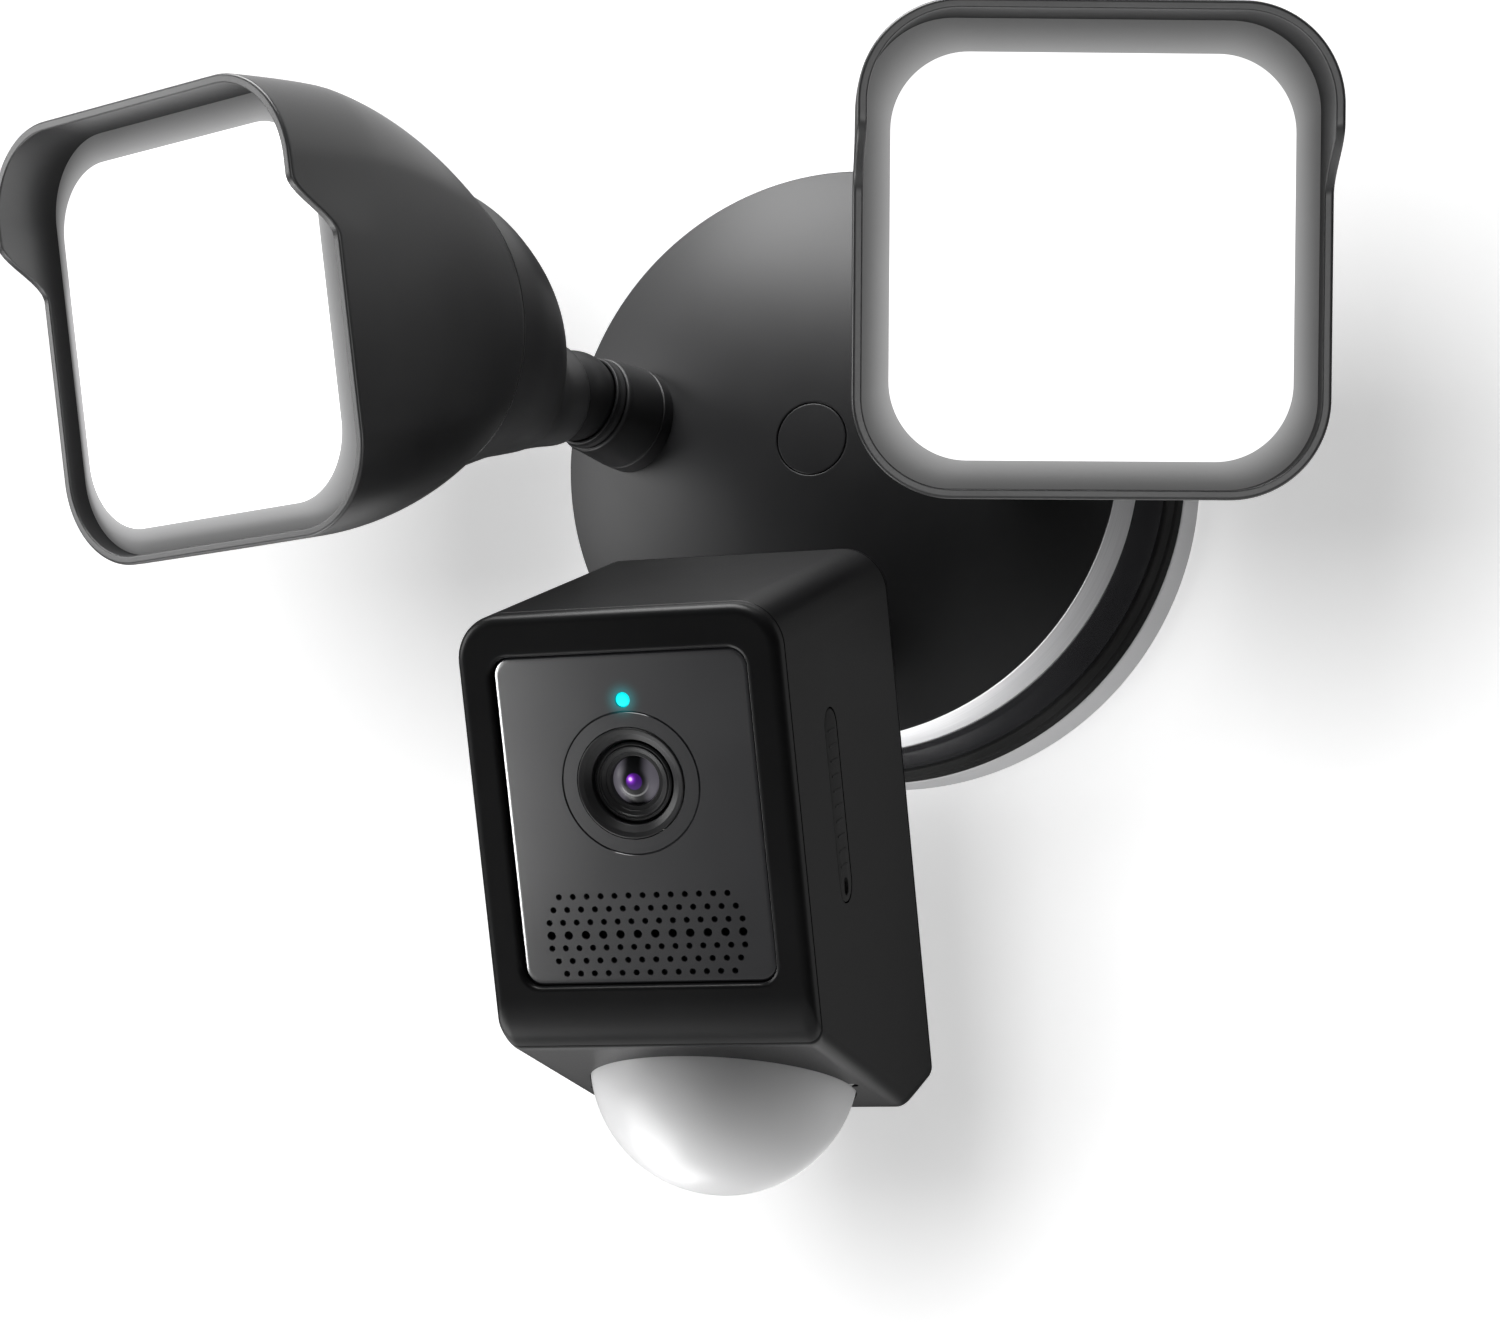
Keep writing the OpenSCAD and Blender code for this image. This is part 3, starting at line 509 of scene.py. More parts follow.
FINISHES = {
    "wall_plate": plate_white(),
    "seal": plastic("seal_rubber", (0.012, 0.012, 0.012), (0.022, 0.022, 0.022), 0.72, 1800, 2.5e-5),
    "gloss_skirt": plastic("skirt_gloss", (0.006, 0.006, 0.007), (0.010, 0.010, 0.011), 0.16, 2600, 2e-6,
                           0.04, Coat_Weight=0.6, Coat_Roughness=0.06),
    "trim": trim_silver(),
    "housing": plastic("satin_black", (0.010, 0.010, 0.011), (0.015, 0.015, 0.016), 0.46),
    "lamp_housing": plastic("lamp_black", (0.016, 0.016, 0.017), (0.024, 0.024, 0.025), 0.40,
                            Specular_IOR_Level=0.9),
    "inner_black": plastic("inner_black", (0.008, 0.008, 0.009), (0.014, 0.014, 0.015), 0.5),
    "diffuser": lit_diffuser(),
    "metal": metal("plated_steel", (0.62, 0.62, 0.60), 0.32),
    "aluminium": metal("cast_aluminium", (0.72, 0.73, 0.74), 0.45, (1, 1, 8)),
    "board": board("green_board", (0.01, 0.09, 0.03), (0.02, 0.16, 0.06)),
    "white_board": board("white_board", (0.72, 0.72, 0.70), (0.62, 0.62, 0.60)),
    "component": plastic("component_mix", (0.10, 0.08, 0.03), (0.30, 0.22, 0.06), 0.4, 300, 4e-5),
    "terminal": plastic("terminal_ivory", (0.62, 0.58, 0.46), (0.72, 0.68, 0.55), 0.45),
    "front_panel": panel_black(),
    "lens_black": plastic("lens_black", (0.020, 0.020, 0.021), (0.028, 0.028, 0.029), 0.40, 3000, 3e-6, 0.05),
    "lens": lens_coating_painted_reflections(),
    "indicator": status_cyan(),
    "rubber": plastic("plug_rubber", (0.010, 0.010, 0.010), (0.017, 0.017, 0.017), 0.6, 2200, 2e-5),
    "milky_white": milky_dome(),
}
FINISHES = {slot: f.material for slot, f in FINISHES.items()}
CAMERA_BLACK = plastic("camera_black", (0.006, 0.006, 0.0065), (0.009, 0.009, 0.0095), 0.36,
                       Specular_IOR_Level=0.24).material


def dress_frame():
    """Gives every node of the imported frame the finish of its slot."""
    for part in frame["record"]["subparts"]:
        data = frame["nodes"][part["node"]].data
        data.materials.clear()
        data.materials.append(FINISHES[part["material_slot"]])


def cased(piece, node, **how):
    """Fits a piece of the camera's case, in its own darker black."""
    return fit(piece, "camera", CAMERA_BLACK, "housing", node, angle=40, **how)


def housed(piece, body, slot, *nodes, **how):
    """Fits a piece that takes its own slot's finish."""
    return fit(piece, body, FINISHES[slot], slot, *nodes, **how)


# ---- Base ----

PLATE_R = reach("mounting_plate")[0]
SEAL_R, SEAL_NEAR, SEAL_FAR = reach("seal_ring")
TRAY_R, TRAY_NEAR, _ = reach("base_tray")
BAND_R, BAND_NEAR, BAND_FAR = reach("trim_band")
COVER_R, COVER_LIP, DOME_TOP = reach("front_cover")
RIM_OUT = 51.0
PLUG_R = reach("cover_plug")[0]
RISE = reach("cover_plug")[2] - RIM_OUT
DOME_R = (COVER_R**2 + RISE**2) / (2 * RISE)
DOME_MID = RIM_OUT + RISE - DOME_R
SKIN = 2.5
HUB_POST_OUT = 20.0
WIRE_R, WIRE_UP = 11.1, 34.0
SLOT_AT, SLOT_W, SLOT_LEN = 44.45, 4.8, 12.0


def dome_out(r, inset=0.0):
    """Distance from the wall of the dome's sphere at radius r."""
    return DOME_MID + np.sqrt((DOME_R - inset)**2 - r * r)


def pill(length, width, steps=12):
    """Slot outline with round ends, longer across."""
    (c0, s0), (c1, s1) = arc(-90, 90, steps), arc(90, 270, steps)
    r, half = width / 2, (length - width) / 2
    return np.stack([np.concatenate([half + r * c0, r * c1 - half]), np.concatenate([r * s0, r * s1])], -1)


def disc(radius, steps=48):
    """Outline of a circle."""
    a = np.linspace(0, 2 * np.pi, steps, endpoint=False)
    return radius * np.stack([np.cos(a), np.sin(a)], -1)


def make_base():
    """Plate, seal, skirt, band, domed cover and hub plug, each an outline turned round the wall's axis."""
    plate = solid("wall_plate", revolve(WALL, rounded([
        (0, 0, 0), (PLATE_R, 0, 0.5), (PLATE_R, SEAL_NEAR, 0.8), (PLATE_R - 5, SEAL_NEAR, 0.4),
        (PLATE_R - 5, 3, 1), (7, 3, 1), (7, HUB_POST_OUT, 0.6), (2.5, HUB_POST_OUT, 0.2), (2.5, 7, 0),
        (0, 7, 0)])))
    cut(plate, solid("hole", prism(WALL, disc(WIRE_R) + (0, WIRE_UP), -1, 6)),
        *(solid("slot", prism(WALL, pill(SLOT_LEN, SLOT_W) + (x * SLOT_AT, 0), -1, 6)) for x in (-1, 1)))
    housed(plate, "root", "wall_plate", "mounting_plate", weigh=True)

    seal = solid("wall_seal", revolve(WALL, rounded([
        (58, SEAL_NEAR, 0), (SEAL_R, SEAL_NEAR, 0.5), (SEAL_R, 18.6, 0.5), (SEAL_R - 0.9, 19.1, 0.2),
        (SEAL_R - 0.9, 19.9, 0.2), (SEAL_R - 0.3, 20.3, 0.3), (SEAL_R - 0.9, SEAL_FAR, 0.6),
        (58, SEAL_FAR, 0)])))
    housed(seal, "root", "seal", "seal_ring")

    skirt = solid("gloss_skirt", revolve(WALL, rounded([
        (0, TRAY_NEAR, 0), (TRAY_R, TRAY_NEAR, 0.7), (TRAY_R - 0.4, 27.5, 6), (BAND_R + 0.7, 34, 6),
        (BAND_R, BAND_NEAR, 0.3), (63.2, BAND_NEAR, 0), (63.2, 26.5, 0.5), (0, 26.5, 0)])))
    housed(skirt, "root", "gloss_skirt", "base_tray")

    band = solid("trim_band_ring", revolve(WALL, rounded([
        (63.2, BAND_NEAR, 0), (BAND_R, BAND_NEAR, 0.35), (COVER_R, BAND_FAR, 0.3), (63.2, BAND_FAR, 0)])))
    housed(band, "root", "trim", "trim_band")

    hole_r = PLUG_R + 0.2
    web_out = DOME_TOP - 11
    line = [(hole_r, web_out, 0), (hole_r, dome_out(hole_r), 0.3)]
    line += [(r, dome_out(r), 0) for r in np.linspace(11, 62.5, 26)]
    line += [(COVER_R, RIM_OUT, 1.3), (COVER_R, BAND_FAR, 0.25), (63, BAND_FAR, 0), (63, COVER_LIP, 0.3),
             (63 - SKIN, COVER_LIP, 0.3)]
    line += [(r, dome_out(r, SKIN), 0) for r in np.linspace(60.5, hole_r + 2, 14)]
    line += [(hole_r + 2, web_out, 0)]
    cover = solid("domed_cover", revolve(WALL, rounded(line), 256))
    arms = [(arm_place(side), -60, -10) for side in SIDES] + [(camera_arm(), -70, -20)]
    cut(cover, *(solid("hole", prism(place, disc(9.0), near, far)) for place, near, far in arms))
    housed(cover, "root", "housing", "front_cover", weigh=True)

    line = [(0, DOME_TOP - 3, 0), (PLUG_R - 2.5, DOME_TOP - 3, 0), (PLUG_R - 2.5, DOME_TOP - 6, 0),
            (PLUG_R - 1.2, DOME_TOP - 6, 0.3), (PLUG_R - 0.9, DOME_TOP - 2.5, 0),
            (PLUG_R, DOME_TOP - 2.4, 0), (PLUG_R, dome_out(PLUG_R), 0.3)]
    line += [(r, dome_out(r), 0) for r in (6.0, 4.5, 3.0, 1.5)] + [(0, dome_out(0), 0)]
    plug = solid("hub_plug_cap", revolve(WALL, rounded(line), 96))
    housed(plug, "cover_plug", "housing", "cover_plug")


# ---- Knuckles ----

SPIGOT_R, SHANK_R, CUP_R, ARM_R, ARM_BASE_R = 8.9, 6.06, 9.4, 10.8, 11.7
BALL_R, STUD_R = 10.08, 5.5


def camera_arm():
    """At the camera's ball, out along its arm."""
    roll = joints["camera_roll"]
    return Place(roll["pos_m"], (1, 0, 0), roll["axis"])


def make_arm(name, node, place, length, end, base_r):
    """Arm: a sleeve turned round its axis, standing on the dome, with a fine groove and a rolled end."""
    sleeve = solid(name, revolve(place, rounded([
        (SPIGOT_R - 1, -length - 9, 0), (base_r, -length - 9, 0), (base_r, 0.6 - length, 0.4),
        (ARM_BASE_R + 0.02, 4.2 - length, 2.5), (ARM_BASE_R, 6.6 - length, 0.25),
        (ARM_BASE_R - 0.35, 6.8 - length, 0.1), (ARM_BASE_R - 0.35, 7.05 - length, 0.1),
        (ARM_BASE_R, 7.25 - length, 0.25), (ARM_R + 0.1, end - 1.6, 0.8), (ARM_R + 0.1, end, 0.8),
        (CUP_R, end, 0.3), (CUP_R, end - 1.2, 0), (SPIGOT_R - 1, end - 1.2, 0)]), 128))
    cap = bow(DOME_R + 0.05, 55, 90, 60) + (0, DOME_MID)
    cut(sleeve, solid("dome", revolve(WALL, np.concatenate([[(0, 5)], cap]), 256)))
    housed(sleeve, "root", "housing", node, weigh=True)


def collar(name, place, rim, body, node):
    """Swivel collar: a seat for the ball, a rolled lip that waists in, and a long shank down the arm."""
    seat = BALL_R + 0.3
    bowl = [(r, -math.sqrt(seat**2 - r * r), 0) for r in (8.6, 7.0, 5.0, 3.2)]
    piece = solid(name, revolve(place, rounded([
        (3.2, -rim - 26, 0), (SHANK_R - 0.1, -rim - 26, 0.4), (SHANK_R - 0.1, -rim - 8, 0),
        (CUP_R - 0.1, -rim - 8, 0), (CUP_R - 0.1, -rim - 2.55, 0), (ARM_R - 0.25, -rim - 2.55, 0.35),
        (ARM_R - 0.75, -rim - 1.3, 1.2), (ARM_R - 0.65, -rim, 0.45), (9.5, -rim, 0.2)] + bowl), 128))
    housed(piece, body, "inner_black", node)


def make_knuckles():
    """Lamp arms, collars and balls, each sphere running into a stud along the neck, and the camera's arm."""
    for side in SIDES:
        make_arm(side + "_arm", side + "_arm_stub", arm_place(side), 25.0, -7.25, ARM_BASE_R)
        collar(side + "_swivel_collar", arm_place(side), 4.4, side + "_swivel", side + "_swivel_cup")
        line = np.concatenate([bow(BALL_R, -90, 56.9, 48), [(STUD_R, 24), (0, 24)]])
        line[0, 0] = 0
        ball = solid(side + "_knuckle_ball", turned(head_place(side), line, 128))
        housed(ball, side + "_knuckle", "inner_black", side + "_ball", side + "_tilt_pin")
    make_arm("camera_arm", "camera_arm_stub", camera_arm(), 41.6, -11.25, 16.0)


# ---- Lamp heads ----

LENS_UP = 15.7
LAMP_REACH, LAMP_HALF, LAMP_HALF_UP, FRONT_UP, FRONT_CORNER = 110.0, 45.0, 45.85, 0.65, 19.0
SEAM_AT, SEAM_R = 46.5, 32.2
HOOD, HOOD_LOW, HOOD_HIGH = 11.0, 12.0, 24.0
RIM_W, LAMP_WALL = 1.9, 2.2
LENS_HALF, LENS_CORNER = 37.95, 14.7
LENS_AT = LAMP_REACH - 1.6
NECK_BORE = 9.5
SEAM_EASE = 0.25
BELL = [  # distance from the ball, top and bottom of each round section
    (5.2, 10.6, -9.6), (5.7, 11.4, -10.4), (6.5, 11.9, -10.9), (8.5, 12.05, -11.1), (12, 12.2, -11.2),
    (15, 13.7, -11.4), (18, 17.6, -11.7), (21, 25.8, -12.2), (25, 33.8, -12.6), (31, 40, -13.2),
    (38, 44.6, -14.6), (46.5, LENS_UP + SEAM_R, LENS_UP - SEAM_R)]


def square_ring(theta, half_x, half_y, corner):
    """Point at each angle on a rectangle with round corners: on a side, or on the corner's arc."""
    c, s = np.abs(np.cos(theta)), np.abs(np.sin(theta))
    side = np.minimum(half_x / np.maximum(c, 1e-9), half_y / np.maximum(s, 1e-9))
    mid_x, mid_y = half_x - corner, half_y - corner
    in_corner = (side * c > mid_x) & (side * s > mid_y)
    along = c * mid_x + s * mid_y
    curved = along + np.sqrt(np.maximum(along**2 - mid_x**2 - mid_y**2 + corner**2, 0))
    rho = np.where(in_corner, curved, side)
    return rho * np.cos(theta), rho * np.sin(theta)


def lamp_angles(columns=320):
    """Angles round the lamp, a little closer together at the square's corners."""
    a = np.linspace(0, 2 * np.pi, columns, endpoint=False)
    return a + 0.12 * np.sin(4 * a)


def hood_rise(y):
    """How far the hood stands forward at a height above the lens centre."""
    return HOOD * smooth(y, HOOD_LOW, HOOD_HIGH)


def lamp_row(theta, t, inset, ahead=0.0, full=None):
    """One row round the lamp's housing.

    From t 0, a circle at the seam, to t 1, the square front; drawn in by inset, and moved forward by the
    hood's rise as t nears 1.
    """
    share = 1 - (1 - t)**1.7
    x, y = square_ring(theta, LAMP_HALF - inset, LAMP_HALF_UP - inset, max(FRONT_CORNER - inset, 1))
    x = (1 - share) * (SEAM_R - inset) * np.cos(theta) + share * x
    y = (1 - share) * (SEAM_R - inset) * np.sin(theta) + share * (y + FRONT_UP)
    lift = hood_rise(y) * (smooth(t, 0.78, 1.0) if full is None else full)
    z = SEAM_AT + t * (LAMP_REACH - SEAM_AT) + ahead + lift
    return np.stack([x, y + LENS_UP, z + 0 * x], -1)


def front_housing():
    """Closed wall: outer rows forward to the rim, round its edges, and back down the inside."""
    theta = lamp_angles()
    rows = [lamp_row(theta, 0.0, 0.35), lamp_row(theta, 0.0, 0.0, 0.2)]
    rows += [lamp_row(theta, t, 0.0) for t in np.linspace(0.02, 0.985, 34)]
    edge = 0.6
    c, s = arc(0, 90, 6)
    rows += [lamp_row(theta, 1.0, edge * (1 - a), edge * (b - 1), 1.0) for a, b in zip(c, s)]
    rows += [lamp_row(theta, 1.0, d, 0.0, 1.0) for d in (edge + 0.15, RIM_W - 0.45)]
    edge = 0.35
    rows += [lamp_row(theta, 1.0, RIM_W - edge * (1 - b), edge * (a - 1), 1.0) for a, b in zip(c, s)]
    rows += [lamp_row(theta, 1.0, RIM_W, -0.5 - 1.2 * k, 1 - 0.22 * k) for k in (0, 1, 2, 3, 4)]
    rows += [lamp_row(theta, t, LAMP_WALL + 0.15, 0.0, 0.0) for t in np.linspace(0.88, 0.0, 12)]
    return np.stack(rows), True, True


def rear_bell():
    """Closed wall of round sections whose tops and bottoms follow two smooth outlines."""
    at = np.array([b[0] for b in BELL])
    fine = np.concatenate([
        np.linspace(at[0], 8, 14), np.linspace(8.6, 30, 34), np.linspace(31, at[-1] - SEAM_EASE, 16)])
    top, low = (pchip(at, [b[k] for b in BELL], fine) for k in (1, 2))
    ends = (top[-1] - 0.35, low[-1] + 0.35, at[-1])
    top, low, fine = (np.append(v, e) for v, e in zip((top, low, fine), ends))
    theta = lamp_angles()[None, :]
    radius, up = ((top - low) / 2)[:, None], ((top + low) / 2)[:, None]
    outer = np.stack([radius * np.cos(theta), up + radius * np.sin(theta), fine[:, None] + 0 * theta], -1)
    thin = np.maximum(radius - LAMP_WALL, NECK_BORE)
    keep = np.where(thin > NECK_BORE, up, 0)
    inner = np.stack([thin * np.cos(theta), keep + thin * np.sin(theta), fine[:, None] + 0 * theta], -1)
    return np.concatenate([outer, inner[::-1]]), True, True


def lens_rows():
    """Lit lens: a raised flat square, a border sloping back to the housing, and a flat back.

    The map's first number runs from 0 at the housing to 1 at the flat's edge, and past it inside.
    """
    theta = lamp_angles()
    rows, maps = [], []

    def row(half_x, half_y, corner, up, z, m, scale=1.0):
        """Adds a row of points and its map, whose first number is m."""
        x, y = square_ring(theta, half_x, half_y, corner)
        rows.append(np.stack([scale * x, LENS_UP + scale * y + up, z + 0 * x], -1))
        maps.append(np.stack([m + 0 * x, theta / (2 * np.pi)], -1))

    outer = (LAMP_HALF - RIM_W - 0.05, LAMP_HALF_UP - RIM_W - 0.05, FRONT_CORNER - RIM_W, FRONT_UP)
    inner = (LENS_HALF, LENS_HALF, LENS_CORNER, 0.0)
    row(*outer, LENS_AT - 4.6, 0.0, 0.001)
    row(*outer, LENS_AT - 4.6, 0.0)
    for t in np.linspace(0, 1, 14):
        mixed = [(1 - t) * a + t * b for a, b in zip(outer, inner)]
        row(*mixed, LENS_AT - 2.6 * (1 - t)**1.5, t)
    for scale in (0.995, 0.97, 0.8, 0.5, 0.2, 0.0):
        row(*inner, LENS_AT, 2 - scale, scale)
    return np.stack(rows), np.stack(maps)


def make_lamps():
    """Hooded housing, bell and lit lens of each lamp, along its neck."""
    for side in SIDES:
        place, body = head_place(side), side + "_lamp"
        grid, *wraps = front_housing()
        shell = solid(side + "_hooded_housing", (place(grid), *wraps))
        housed(shell, body, "lamp_housing", side + "_front_housing", angle=40)
        grid, *wraps = rear_bell()
        bell = solid(side + "_bell", (place(grid), *wraps))
        housed(bell, body, "lamp_housing", side + "_rear_bell", angle=40)
        rows, maps = lens_rows()
        lens = solid(side + "_lit_lens", (place(rows), False, True), uv=maps)
        housed(lens, body, "diffuser", side + "_diffuser")


# ---- Camera ----

CAM_HALF, CAM_TOP, CAM_DEPTH, CAM_FRONT = 33.0, 41.0, 72.0, -1.5
PART_AT, PART_GAP = 2.2, 0.25
TOP_CORNER, LOW_CORNER = 9.0, 3.0
CHIN_R, CHIN_DROP, CHIN_SLOPE = 11.0, -43.7, math.radians(28.4)
HEEL_AT, HEEL_LOW, HEEL_END = 53.0, -72.0, 70.0
BACK_SEAM = CAM_DEPTH - 2.4
SHELL_WALL = 2.2


def underside(v, inset=0.0):
    """Height of the housing's underside at a depth v behind the glass.

    It is the chin's arc, then the slope, and then the flatter heel, blended where slope and heel meet.
    """
    mid_v = CAM_FRONT + CHIN_R
    mid_w = CHIN_DROP + CHIN_R * math.tan((math.pi / 2 - CHIN_SLOPE) / 2)
    end = mid_v - CHIN_R * math.sin(CHIN_SLOPE)
    chin = mid_w - np.sqrt(np.maximum((CHIN_R - inset)**2 - (mid_v - np.minimum(v, end))**2, 0))
    slope = CHIN_DROP - (v - CAM_FRONT) * math.tan(CHIN_SLOPE) + inset / math.cos(CHIN_SLOPE)
    knee = CHIN_DROP - (HEEL_AT - CAM_FRONT) * math.tan(CHIN_SLOPE)
    heel = knee + (v - HEEL_AT) * (HEEL_LOW - knee) / (HEEL_END - HEEL_AT) + inset
    blend = (slope + heel + np.sqrt((slope - heel)**2 + 1.2)) / 2
    return np.where(v < end, chin, np.maximum(blend, np.where(v < end + 4, slope, blend)))


def body_ring(half_x, top, low, top_r, low_rx, low_rz, v):
    """Closed rows round the housing: sides, two top corners, and two taller lower corners."""
    half_x, top, low, top_r, low_rx, low_rz, v = (
        np.atleast_1d(np.asarray(q, float))[:, None] for q in np.broadcast_arrays(
            half_x, top, low, top_r, low_rx, low_rz, v))
    c, s = (q[None, :] for q in arc(0, 90, 13))
    t = np.linspace(0, 1, 15)[None, 1:-1]
    x = [half_x - top_r + top_r * c, (half_x - top_r) * (1 - 2 * t), top_r - half_x - top_r * s,
         0 * t - half_x, low_rx - half_x - low_rx * c, (half_x - low_rx) * (2 * t - 1),
         half_x - low_rx + low_rx * s, 0 * t + half_x]
    side = (low + low_rz) + (top - top_r - low - low_rz) * (1 - t)
    w = [top - top_r + top_r * s, top + 0 * t, top - top_r + top_r * c, side,
         low + low_rz - low_rz * s, low + 0 * t, low + low_rz - low_rz * c, side[:, ::-1]]
    x, w = np.concatenate(x, 1), np.concatenate(w, 1)
    return np.stack([x, w, -v + 0 * x], -1)


def body_rows(v, inset=0.0, edge=None):
    """Rows round the housing at each depth; edge draws them in where an end is rounded over."""
    v = np.asarray(v, float)
    edge = np.zeros_like(v) if edge is None else edge
    all_in = inset + edge
    return body_ring(CAM_HALF - all_in, CAM_TOP - all_in, underside(v, inset) + edge,
                     np.maximum(TOP_CORNER - all_in, 1.5), np.maximum(LOW_CORNER - all_in, 1.5),
                     np.maximum(LOW_CORNER - all_in, 1.5) / math.cos(CHIN_SLOPE), v)


def glass_ring(grow, v, half=(GLASS_W / 2 + 0.2, GLASS_H / 2 + 0.2), corner=3.7):
    """Rows round the glass opening, grown outward by grow."""
    grow = np.atleast_1d(np.asarray(grow, float))
    r = corner + grow
    return body_ring(half[0] + grow, half[1] + grow, -half[1] - grow, r, r, r, v)


def bezel_grid():
    """Front ring: opening wall, rolled lip, satin flat, rounded outer edge and back to the opening."""
    c, s = arc(0, 90, 8)
    lip, edge = 0.9, 2.0
    opening = glass_ring(0, [PART_AT, 0.4, CAM_FRONT + lip])
    rolled = glass_ring(lip * (1 - c), CAM_FRONT + lip * (1 - s))
    depth = CAM_FRONT + edge * (1 - np.sin(np.radians(np.linspace(90, 0, 14))))
    turn = edge * (1 - np.cos(np.radians(np.linspace(90, 0, 14))))
    outer = body_rows(depth, 0.0, turn)
    first, last = rolled[-1], outer[0]
    flat = np.stack([(1 - t) * first + t * last for t in (0.06, 0.3, 0.6, 0.94)])
    side = body_rows([PART_AT - 1.2, PART_AT - 0.2])
    closing = body_rows([PART_AT], 0.0, np.array([0.2]))
    rows = np.concatenate([opening, rolled, flat, outer[:-1], side, closing])
    return CAMERA(rows), True, True


def shell_grid():
    """Main shell: a wall round the housing from the parting line to the back seam, its ends eased."""
    start = PART_AT + PART_GAP
    v = np.concatenate([[start + 0.2, start + 0.5], np.linspace(start + 1, 12, 16), np.linspace(14, 44, 12),
                        np.linspace(45, 58, 16), np.linspace(60, BACK_SEAM - 0.5, 6), [BACK_SEAM - 0.2]])
    outer = body_rows(v)
    eased = body_rows([BACK_SEAM], 0.0, np.array([0.2]))
    inner = body_rows(np.append(v[::-3], start), SHELL_WALL)
    begin = body_rows([start], 0.0, np.array([0.2]))
    rows = np.concatenate([begin, outer, eased, body_rows([BACK_SEAM], SHELL_WALL), inner])
    return CAMERA(rows), True, True


def back_grid():
    """Back plate: eased seam, rounded rear edge, and flat faces closed on the middle."""
    start, edge = BACK_SEAM + 0.12, 2.2
    a = np.radians(np.linspace(0, 90, 9))
    v = np.concatenate([[start, start + 0.2], CAM_DEPTH - edge + edge * np.sin(a)])
    turn = np.concatenate([[0.2, 0.0], edge * (1 - np.cos(a))])
    rows = body_rows(v, 0.0, turn)
    middle = np.array([0.0, -14.0, 0.0])
    front, behind = (np.stack([middle + (row - middle) * (k, k, 1) for k in shares])
                     for row, shares in ((rows[0], (0.0, 0.6, 0.97)), (rows[-1], (0.97, 0.6, 0.0))))
    return CAMERA(np.concatenate([front, rows, behind])), False, True


PLUG_DEEP, PLUG_MID, PLUG_LEN, PLUG_W = 25.2, -3.7, 39.2, 8.0
DOME_DEEP, DOME_W = 36.0, -57.7
KNOB_DROP = 4.6


def side_place():
    """On the housing's right side at the side plug: across is up the slot, out is away from the side."""
    return Place(CAMERA((CAM_HALF, PLUG_MID, -PLUG_DEEP)), CAMERA.up, CAMERA.across)


def globe(place, radius, steps=(72, 144)):
    """Sphere grid from pole to pole."""
    c, s = arc(90, -90, steps[0])
    return turned(place, np.stack([radius * np.abs(c), radius * s], -1), steps[1])


GRILLE = [(13, 2.9, 0.5), (14, 2.9, 0.5), (15, 2.85, 0.5), (12, 3.6, 0.75), (15, 2.85, 0.5), (14, 2.9, 0.5),
          (13, 2.9, 0.5)]  # each row's count, step and radius, from the top
GRILLE_TOP, GRILLE_STEP = -15.0, 2.55


def on_glass(across, up):
    """At a spot on the front glass, out towards the viewer."""
    return Place(CAMERA((across, up, 0)), CAMERA.across, CAMERA.out)


LENS, LIGHT = on_glass(0, LENS_W), on_glass(0, LIGHT_W)


def drill(at, radius, chamfer=0.16, columns=20):
    """Cutter for a hole through the front panel: a straight bore that opens out at the face."""
    line = [(0, 1), (radius + 5 * chamfer, 1), (radius, -1.25 * chamfer), (radius, -3), (0, -3)]
    return turned(on_glass(*at), line, columns)


def make_front_panel():
    """Panel from rows round the glass with an eased face edge, drilled for the grille, lens and light."""
    edge = 0.45
    c, s = arc(90, 0, 7)
    face = glass_ring(-edge + edge * c, edge * (1 - s), (GLASS_W / 2, GLASS_H / 2), 3.5)
    back = glass_ring([0, 0], [GLASS_T - 0.1, GLASS_T], (GLASS_W / 2, GLASS_H / 2), 3.5)
    flat = np.stack([face[0] * (k, k, 1) for k in (0, 0.5, 0.98)])
    closing = np.stack([back[-1] * (k, k, 1) for k in (0.98, 0.5, 0)])
    panel = solid("front_panel", (CAMERA(np.concatenate([flat, face, back, closing])), False, True))
    holes = [drill(((i - (count - 1) / 2) * step, GRILLE_TOP - k * GRILLE_STEP), radius)
             for k, (count, step, radius) in enumerate(GRILLE) for i in range(count)]
    cut(panel, solid("grille", *holes), solid("lens_hole", drill((0, LENS_W), 11, 0.1, 128)),
        solid("light_hole", drill((0, LIGHT_W), 1.5, 0.1, 48)),
        solid("ring", revolve(LENS, np.array([(13.7, 0.1), (14.3, 0.1), (14.0, -0.2)]), 192)))
    housed(panel, "camera", "front_panel", "front_glass")


